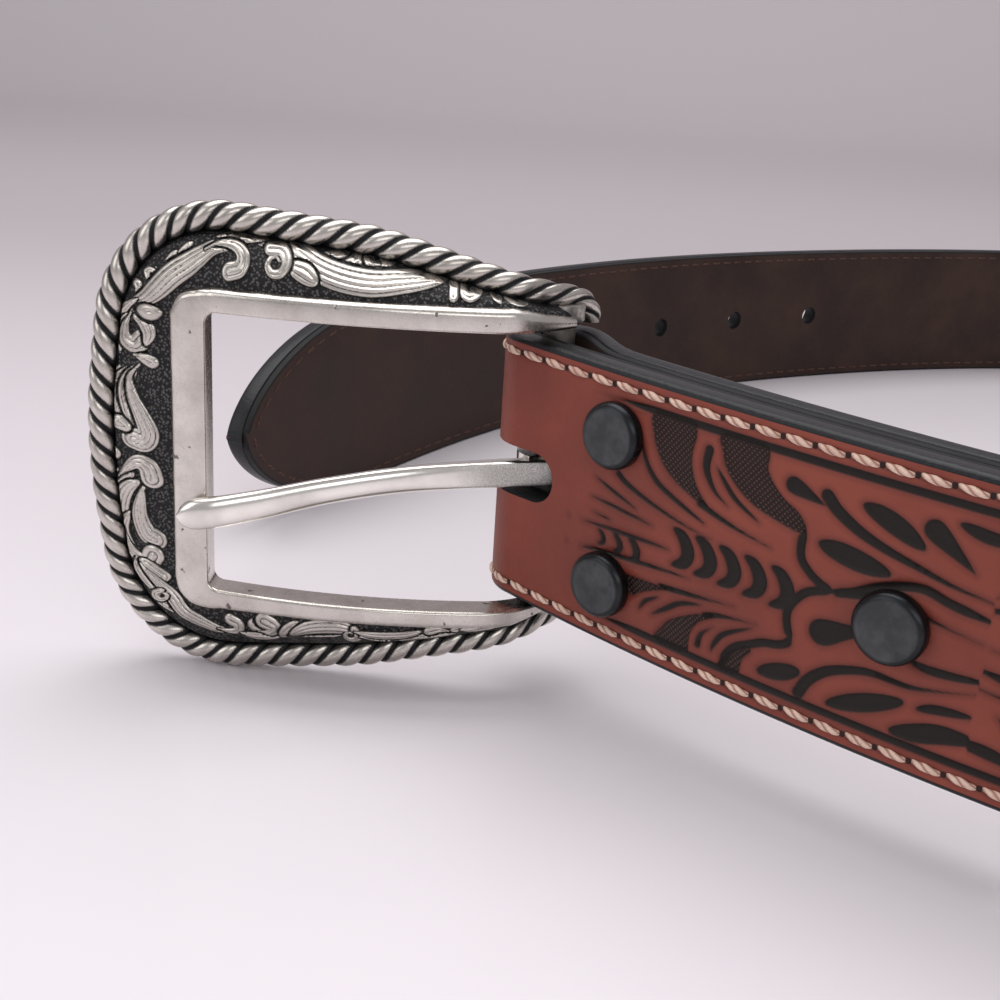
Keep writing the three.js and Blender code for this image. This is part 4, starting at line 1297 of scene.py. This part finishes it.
rows = rim_rows(0.5 * mm)
rim = joined("buckle_rim", [skin_part(rows)])
keep_value(rim, "hollow", np.zeros(rows.shape[:2]))
settle(smooth(rim, 45), "buckle", "antiqued_silver", polished, ["buckle_frame"])

# %% [markdown]
# ## The scroll band
# Between rim and rope lies a rounded band with leaf scrolls on a dotted ground, an old
# pattern of engravers. The frame is domed, so the band falls from the rim to the rope, most of
# all along the middle of the two arms. It is charted like the tooling, but each stroke is a raised leaf with
# flutes along it, and a later leaf lies over an earlier one with a fine dark line round it.
# The chart's first number is the run along the rope edge, the second the way out from the
# opening, both in millimetres.

# %% Chart of the scrolls
def curl(centre, radius, start, turns, width, flutes=1):
    """A leaf that winds in: its distance from the centre falls evenly to a third."""
    t = np.linspace(0, 1, 9)
    angle = math.radians(start) + 2 * math.pi * turns * t
    reach = radius * (1 - 0.7 * t)
    line = np.stack([centre[0] + reach * np.cos(angle), centre[1] + reach * np.sin(angle)], -1)
    return ("drop", width, flutes, line)


scrolls_upper = [
    ("leaf", 1.9, 3, [(13.6, 4.1), (16.2, 5.5), (20.0, 6.9)]),
    ("leaf", 1.0, 1, [(17.4, 4.1), (18.4, 5.2), (19.7, 6.2)]),
    curl((21.8, 5.5), 1.35, 150, 1.2, 1.1),
    ("drop", 1.1, 1, [(23.8, 4.3), (24.0, 5.6), (25.0, 6.4), (27.0, 6.4)]),
    ("leaf", 1.4, 2, [(27.8, 8.6), (29.4, 7.9), (32.0, 7.3), (34.0, 6.3)]),
    ("leaf", 1.3, 2, [(29.4, 8.1), (31.6, 8.0), (33.6, 7.2), (35.2, 6.0)]),
    ("leaf", 1.6, 2, [(38.8, 9.0), (39.8, 7.8), (42.0, 7.2), (45.0, 8.0), (47.6, 9.2)]),
    ("leaf", 1.5, 2, [(37.0, 8.9), (37.4, 7.4), (39.4, 6.3), (42.6, 6.5)]),
    ("drop", 1.7, 2, [(34.4, 9.0), (35.9, 8.2), (35.6, 7.0), (34.4, 6.9)]),
    ("leaf", 2.4, 4, [(24.4, 6.3), (27.4, 5.8), (31.0, 5.3), (35.0, 4.9), (39.0, 5.3),
         (42.6, 6.4), (46.0, 8.2), (49.4, 9.2), (53.0, 9.3)]),
    ("leaf", 1.9, 2, [(42.6, 4.7), (44.4, 5.8), (46.6, 6.6)]),
    curl((48.4, 6.7), 1.9, 60, 1.25, 1.3),
    ("leaf", 1.3, 2, [(50.0, 9.4), (54.0, 9.3), (58.0, 8.6), (61.4, 7.4)]),
    ("leaf", 1.3, 2, [(62.0, 9.3), (64.6, 8.4), (68.0, 7.4)]),
    ("leaf", 1.2, 2, [(65.8, 9.0), (68.6, 8.2), (72.0, 7.5)]),
    ("leaf", 1.3, 2, [(71.6, 9.0), (74.4, 8.4), (78.0, 8.4), (80.6, 9.6)]),
    curl((73.2, 8.6), 1.2, 20, 1.0, 0.9),
    ("drop", 1.3, 1, [(76.6, 10.0), (77.6, 9.6), (79.0, 9.9)]),
    ("leaf", 2.5, 4, [(54.0, 8.2), (57.4, 8.2), (61.0, 7.4), (65.0, 6.8), (70.0, 6.8),
         (75.0, 7.2), (78.6, 8.1), (81.6, 10.0), (84.6, 11.8)]),
    ("drop", 1.9, 2, [(54.6, 5.3), (53.2, 5.8), (52.8, 7.2), (54.0, 8.4), (56.6, 8.7), (59.6, 8.2)]),
    ("leaf", 1.3, 2, [(79.6, 9.4), (82.4, 11.2), (86.0, 12.3), (90.4, 12.0)]),
    ("leaf", 1.1, 2, [(83.0, 10.6), (85.4, 11.5), (88.6, 11.3)]),
    ("drop", 2.2, 2, [(86.2, 8.3), (87.2, 9.3), (86.4, 10.7), (84.6, 10.7), (82.6, 10.0)]),
    ("leaf", 1.6, 2, [(83.0, 9.6), (83.7, 8.2), (85.2, 7.4), (87.0, 7.8)]),
    ("drop", 3.0, 1, [(81.6, 7.4), (81.2, 7.3)]),
    ("drop", 1.5, 1, [(89.3, 6.9), (88.8, 8.2), (88.6, 9.4)]),
    ("leaf", 1.7, 3, [(90.6, 11.2), (93.0, 12.5), (96.4, 12.8), (99.4, 11.0)]),
    ("leaf", 1.8, 3, [(90.4, 10.0), (93.4, 11.5), (96.6, 11.4), (99.4, 9.9)]),
    ("leaf", 1.8, 3, [(90.0, 9.0), (93.0, 10.2), (96.4, 9.9), (99.6, 8.7)]),
    ("drop", 2.5, 4, [(100.9, 9.4), (101.2, 8.0), (99.7, 7.4), (97.4, 8.2), (94.6, 9.4),
         (91.8, 9.8), (89.9, 8.6)]),
    ("drop", 1.5, 1, [(98.6, 11.3), (99.4, 10.4), (99.0, 12.4), (97.6, 12.8)]),
]
scrolls_lower = [
    ("leaf", 1.9, 3, [(106.4, 9.6), (107.0, 11.2), (109.4, 12.7), (113.0, 12.4)]),
    ("leaf", 1.8, 3, [(107.4, 8.8), (108.6, 10.4), (111.0, 11.5), (114.6, 11.8), (118.0, 10.8)]),
    ("leaf", 1.7, 2, [(112.6, 10.6), (115.6, 11.9), (118.4, 11.0), (119.8, 9.4)]),
    ("drop", 2.5, 4, [(116.0, 7.2), (115.2, 8.4), (112.6, 9.1), (109.6, 8.7), (107.2, 8.0)]),
    ("drop", 2.4, 3, [(106.6, 7.1), (104.9, 7.6), (104.4, 9.0), (105.6, 10.4), (107.4, 11.9)]),
    ("drop", 1.5, 1, [(103.7, 12.0), (104.4, 12.8), (105.4, 12.2)]),
    ("drop", 2.5, 2, [(118.6, 7.7), (119.9, 8.5), (119.6, 10.0), (118.0, 11.2), (115.4, 11.7)]),
    ("leaf", 1.5, 2, [(119.6, 10.3), (122.4, 10.1), (125.4, 9.2), (128.2, 8.6)]),
    ("leaf", 2.5, 3, [(119.8, 9.6), (121.4, 8.0), (123.0, 6.9), (124.6, 6.6)]),
    ("leaf", 1.4, 2, [(127.0, 9.1), (130.0, 9.0), (133.0, 8.0), (137.0, 7.2)]),
    ("leaf", 2.0, 3, [(120.6, 9.9), (123.6, 8.2), (127.4, 6.9), (131.0, 6.6), (135.0, 6.9),
         (140.0, 6.7), (145.0, 6.9), (148.6, 6.8)]),
    curl((128.8, 8.1), 1.5, 190, -1.2, 1.2),
    ("drop", 1.7, 1, [(148.2, 4.7), (149.4, 5.3), (149.2, 6.5), (147.6, 6.9), (145.4, 6.9)]),
    ("drop", 2.1, 1, [(152.1, 5.0), (151.7, 5.2)]),
    ("leaf", 1.4, 2, [(149.6, 7.0), (152.4, 7.2), (155.0, 6.4), (156.4, 4.9)]),
    ("drop", 2.2, 2, [(153.4, 4.1), (154.8, 4.9), (154.2, 6.1), (152.4, 6.2)]),
    ("leaf", 1.7, 2, [(155.7, 6.6), (157.0, 5.2), (158.4, 3.5)]),
    ("leaf", 1.3, 2, [(156.8, 6.4), (158.6, 5.6), (161.4, 5.2), (165.0, 4.9)]),
    ("leaf", 2.0, 3, [(157.0, 6.2), (159.4, 4.6), (162.4, 3.7), (165.4, 3.6), (167.4, 4.4)]),
    curl((166.1, 4.9), 1.4, -60, 1.0, 1.1),
    ("leaf", 1.2, 2, [(167.6, 5.2), (171.4, 5.5), (175.6, 5.1), (179.4, 4.4), (183.0, 3.4)]),
    ("leaf", 1.4, 2, [(166.8, 4.2), (170.6, 4.7), (174.0, 4.5), (177.0, 3.5)]),
    ("drop", 1.4, 1, [(178.0, 3.5), (179.4, 3.1), (181.0, 3.6)]),
    ("leaf", 1.1, 1, [(181.2, 3.3), (182.2, 3.0), (183.2, 2.6)]),
    ("leaf", 1.2, 2, [(182.6, 3.3), (185.4, 2.9), (188.4, 2.8)]),
]

# %% Scroll band
band_rows_apart = 0.18 * mm
band_columns = 58
scroll_rise = 0.8 * mm
band_dome = 0.35 * mm
rope_overlap = 0.9 * mm
band_fade = 1.2 * mm
groove_drop = 1.5 * mm
flat_sink = 2.2 * mm
line, _, rope_radius, rope_sink = rope_line(band_rows_apart)
kept = line[:, 0] < band_end
run_mm = np.linspace(0, chart_length, len(line))[kept]
line, rope_radius, rope_sink = line[kept], rope_radius[kept], rope_sink[kept]
scroll_sheet = Sheet(10, 196, 1.5, 14, 0.1)
leaf_fullness = 1.42


def leaf_sheet(leaves):
    """Height and brightness from 0 to 1: a leaf's back is a flat arch with half-round flutes
    along it, and each new leaf covers what lies under it and cuts a dark line round itself."""
    height = np.zeros(scroll_sheet.shape)
    bright = np.zeros(scroll_sheet.shape)
    for kind, width, flutes, points in leaves:
        leaf_line = smooth_line(points)
        halves = np.maximum(taper(kind, leaf_fullness * width, np.linspace(0, 1, len(leaf_line))), 0.2)
        rows_in, columns_in, depth, half, side = scroll_sheet.nearest(leaf_line, halves)
        across_share = np.clip((1 - depth / half) * side, -1, 1)
        arch = (1 - across_share**2) ** 0.45
        flute = (across_share + 1) / 2 * (flutes + 1)
        ridge = np.abs(np.sin(math.pi * flute)) ** 0.7
        low = np.minimum(1, (half / 0.6)) ** 0.5
        cut = soft_step(-depth, 0.22, 0.05)
        under_height = height[rows_in, columns_in] * (1 - 0.8 * cut)
        under_bright = bright[rows_in, columns_in] * (1 - cut)
        height[rows_in, columns_in] = np.where(depth > 0, low * arch * (0.6 + 0.4 * ridge), under_height)
        bright[rows_in, columns_in] = np.where(depth > 0, arch * (0.24 + 0.76 * ridge), under_bright)
    return height, bright


scroll_height, scroll_bright = leaf_sheet(scrolls_upper + scrolls_lower)


def band_skin():
    """Rows across the band: a low dome, the scrolls on it, then down into the groove and round.

    The whole falls towards the rope as the share across to the power 1.5."""
    start, outward, width = crossings(line)
    rim_there = rim_widths(run_mm * mm, width - rope_radius)
    inner_edge = rim_there - 0.3 * mm
    outer_edge = np.maximum(width - rope_radius + rope_overlap, inner_edge + 0.6 * mm)
    share = np.linspace(0, 1, band_columns)
    across = inner_edge[:, None] + (outer_edge - inner_edge)[:, None] * share[None, :]
    run_there = run_mm[:, None] + 0 * across
    chart_share = np.interp(run_mm, chart_widths[:, 0], chart_widths[:, 1]) * mm / width
    chart_across = across * chart_share[:, None] / mm
    height = scroll_sheet.read(scroll_height, run_there, chart_across)
    bright = scroll_sheet.read(scroll_bright, run_there, chart_across)
    fade = soft_step(outer_edge[:, None] - across, 0, band_fade)
    band_share = np.clip((across - inner_edge[:, None]) / (outer_edge - inner_edge)[:, None], 0, 1)
    dome = band_dome * np.sin(math.pi * band_share)
    room = np.clip((outer_edge - inner_edge)[:, None] / (4 * mm), 0.3, 1)
    fall = (rope_sink - flat_sink)[:, None]
    rise = -rim_rise + dome + scroll_rise * height * room * fade - groove_drop * (1 - fade)
    rise = rise - fall * band_share**1.5
    back = np.stack([outer_edge, 0.5 * (inner_edge + outer_edge), inner_edge], -1)
    flat = start[:, None, :] + np.concatenate([across, back], 1)[..., None] * outward[:, None, :]
    rises = np.concatenate([rise, -frame_depth - fall * np.array([1, 0.4, 0])], 1)
    hollow = np.concatenate([1.15 - 1.2 * bright * soft_step(fade, 0.2, 0.8), np.full(back.shape, 0.6)], 1)
    stipple = np.concatenate([soft_step(fade, 0.5, 1.0), 0 * back], 1)
    return buckle_point(flat, rises), np.clip(hollow, 0, 1), stipple


rows, hollow, stipple = band_skin()
band = joined("buckle_scroll_band", [skin_part(rows)])
keep_value(band, "hollow", hollow)
keep_value(band, "stipple", stipple)
settle(smooth(band, 75), "buckle", "antiqued_silver", antiqued, ["buckle_frame"])

# %% [markdown]
# ## The heel bar
# The strap is folded round an upright round bar, which meets the two arms in thicker bosses.
# It is a turned piece, so one profile along its height makes it.

# %% Heel bar
def heel_bar_rows():
    """A turned bar: radius as a function of height, thin in the middle, thick at the bosses."""
    height = np.array([-22.9, -22.8, -20.6, -20.2, -19.6, 19.6, 20.2, 20.6, 22.8, 22.9]) * mm
    radius = np.array([3.0, 3.4, 3.4, 3.0, 2.25, 2.25, 3.0, 3.4, 3.4, 3.0]) * mm
    angle = np.linspace(0, 2 * math.pi, 40, endpoint=False)
    x = bar_x + radius[:, None] * np.cos(angle)
    y = bar_y + radius[:, None] * np.sin(angle)
    z = buckle_middle + height[:, None] + 0 * angle
    return np.stack([x, y, z], -1)


rows = heel_bar_rows()
bar = joined("buckle_heel_bar", [skin_part(rows)])
keep_value(bar, "hollow", np.full(rows.shape[:2], 0.55))
settle(smooth(bar, 45), "buckle", "antiqued_silver", antiqued, ["buckle_frame"])

# %% [markdown]
# ## The prong
# The prong is forged: square and flat where it leaves the slot, then half round with a
# polished ridge, dipping back and rising to rest on the rim with a blunt nose. Its section
# is a rounded box whose corners soften along the way.

# %% Prong
prong_over_rim = 0.85
prong_reach = opening_length + prong_over_rim * rim_width
prong_width = 3.9 * mm
prong_tip_width = 4.6 * mm
prong_depth = 2.7 * mm
prong_drop = 0.3 * mm
prong_droop = 7.7 * mm
prong_way = np.array([(0, 0.37), (0.2, 0.24), (0.42, 0.22), (0.62, 0.46), (0.8, 0.86), (0.9, 1), (1, 0.98)])
ring_reach = 4.7 * mm


def prong_rows(count, sides):
    """A rounded box carried along the prong: its depth follows a table, it droops evenly, its
    nose closes as a quarter circle, and its corners go from square to round."""
    share = np.concatenate([np.linspace(-ring_reach / prong_reach, 0, 10)[:-1], np.linspace(0, 1, count)])
    inner_share = np.maximum(share, 0)
    stand = buckle_front(-opening_length) - 0.3 * mm - prong_depth / 2
    forward = stand * table_curve(prong_way, inner_share)
    nose = np.sqrt(np.maximum(0.02, 1 - np.clip((share - 1) / 0.06 + 1, 0, 1) ** 2))
    swell = soft_step(share, 0.55, 0.92)
    half_wide = 0.5 * (prong_width + (prong_tip_width - prong_width) * swell) * nose
    half_deep = 0.5 * prong_depth * (0.5 + 0.5 * nose) * (1 - 0.12 * soft_step(-share, 0, 0.07))
    squareness = 0.34 + 0.5 * soft_step(share, 0.02, 0.5)
    angle = np.linspace(0, 2 * math.pi, sides, endpoint=False)[None, :]

    def squared(values):
        """A sine or cosine with its corners filled out."""
        return np.sign(values) * np.abs(values) ** squareness[:, None]

    x = bar_x - prong_reach * share[:, None] + 0 * angle
    y = bar_y + forward[:, None] + half_deep[:, None] * squared(np.sin(angle))
    middle = strap_height(0.0) - prong_drop - prong_droop * share[:, None]
    z = middle + half_wide[:, None] * squared(np.cos(angle))
    flat = soft_step(share, 0.3, 0.12)[:, None] * soft_step(-np.sin(angle), 0.55, 0.8)
    return np.stack([x, y, z], -1), flat


def prong_ring():
    """The loop of the prong behind the bar: a flat band bent in a half circle."""
    turn_angle = np.linspace(math.radians(-50), math.radians(230), 48)[:, None]
    corners = np.array([(-1, -1), (1, -1), (1, 1), (-1, 1)])
    radius = 3.75 * mm + 1.1 * mm * corners[None, :, 0]
    height = strap_height(0.0) - prong_drop + 2.0 * mm * corners[None, :, 1]
    x = bar_x + radius * np.cos(turn_angle)
    y = bar_y + radius * np.sin(turn_angle)
    return np.stack([x, y, height + 0 * turn_angle], -1)


def prong_finish():
    """Polished metal with a sanded flat by the slot."""
    finish = Finish("polished_prong")
    place = finish.place()
    blasted = finish.value("blasted")
    sand = finish.noise(5200.0, 2.0, 0.7, place)
    cloud = finish.noise(150.0, 4.0, 0.6, place)
    bright = finish.blend(cloud.step(0.35, 0.75) * 0.5, paint(238, 234, 228), paint(200, 194, 186))
    colour = finish.blend(blasted * sand.step(0.3, 0.7, 0.3, 0.9), bright, paint(150, 148, 146))
    rough = cloud.step(0.2, 0.8, 0.15, 0.24) + blasted * 0.3
    normal = finish.bump(sand * (0.1 + blasted), 0.12 * mm, 0.5)
    return finish.done(Base_Color=colour, Metallic=1.0, Roughness=rough, Normal=normal)


rows, flat = prong_rows(130, 40)
ring = prong_ring()
prong = joined("prong_forged", [skin_part(rows), skin_part(ring)])
keep_value(prong, "blasted", np.concatenate([flat.ravel(), np.zeros(ring.shape[0] * ring.shape[1])]))
settle(smooth(prong, 40), "prong", "polished_silver", prong_finish(), ["prong"])

# %% [markdown]
# ## Floor and light
# The belt is shown on a pale glossy table. Floor and backdrop are one sheet with a wide curve
# between them, so that no line shows behind the belt; a band of the sheet behind the belt is painted
# grey as painted shade, and the sheet turns pale again up the curve. The light is a large soft window
# above and two weaker ones, which give the silver something bright and something dark to mirror.

# %% Floor
def sweep_rows(width, front, back, curve, height):
    """Plan line of the sheet: flat, a quarter circle, then straight up."""
    angle = np.linspace(0, math.pi / 2, 24)
    y = np.concatenate([[front], back - curve + curve * np.sin(angle), [back]])
    z = np.concatenate([[0], curve * (1 - np.cos(angle)), [height]])
    x = np.array([-width / 2, width / 2])
    return np.stack(np.broadcast_arrays(x[None, :], y[:, None], z[:, None]), -1)


rows = sweep_rows(9.0, -3.0, 2.6, 1.3, 3.0)
count = len(rows)
floor_mesh = bpy.data.meshes.new("floor")
near_edge = np.arange(count - 1) * 2
faces = np.stack([near_edge, near_edge + 1, near_edge + 3, near_edge + 2], -1)
floor_mesh.from_pydata(rows.reshape(-1, 3).tolist(), [], faces.tolist())
floor_mesh.shade_smooth()
floor = bpy.data.objects.new("floor", floor_mesh)
bpy.context.scene.collection.objects.link(floor)
floor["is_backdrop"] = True
floor_finish = Finish("pale_table")
away = floor_finish.node("ShaderNodeSeparateXYZ", {}, {0: floor_finish.place()}, output=1)
floor_cloud = floor_finish.noise(1.6, 2.0)
near_colour = floor_finish.blend(floor_cloud, paint(234, 228, 232), paint(226, 220, 225))
# painted shade: the sheet turns grey behind the belt and pale again up the curve
behind = floor_finish.blend(away.step(-0.2, 0.4), near_colour, paint(180, 172, 176))
floor_colour = floor_finish.blend(away.step(0.8, 2.3), behind, paint(236, 228, 230))
floor_mesh.materials.append(floor_finish.done(Base_Color=floor_colour, Roughness=0.3))


# %% Light
def soft_window(name, place, target, size, power, colour=(1, 1, 1)):
    """A flat lamp at a place, turned to face its target."""
    light = bpy.data.lights.new(name, "AREA")
    light.shape = "RECTANGLE"
    light.size, light.size_y = size
    light.energy = power
    light.color = colour
    lamp = bpy.data.objects.new(name, light)
    lamp.location = place
    lamp.rotation_euler = (Vector(target) - Vector(place)).to_track_quat("-Z", "Y").to_euler()
    bpy.context.scene.collection.objects.link(lamp)
    return lamp


soft_window("window_above", (-0.2, 0.25, 1.3), (-0.05, -0.05, 0), (1.6, 1.1), 16)
soft_window("window_left", (-1.3, -0.6, 0.7), (-0.1, 0, 0.03), (0.9, 0.9), 3.4)
soft_window("window_behind_camera", (0.3, -1.5, 0.8), (-0.1, -0.05, 0.03), (1.4, 0.7), 5)
world = bpy.data.worlds.new("studio")
world.use_nodes = True
world.node_tree.nodes["Background"].inputs["Color"].default_value = (0.80, 0.79, 0.82, 1)
world.node_tree.nodes["Background"].inputs["Strength"].default_value = 0.55
bpy.context.scene.world = world
bpy.context.scene.view_settings.view_transform = "Standard"

# %% Sizes
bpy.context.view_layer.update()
total = sum(count_triangles(piece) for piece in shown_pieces())
print("all pieces", total, "triangles")
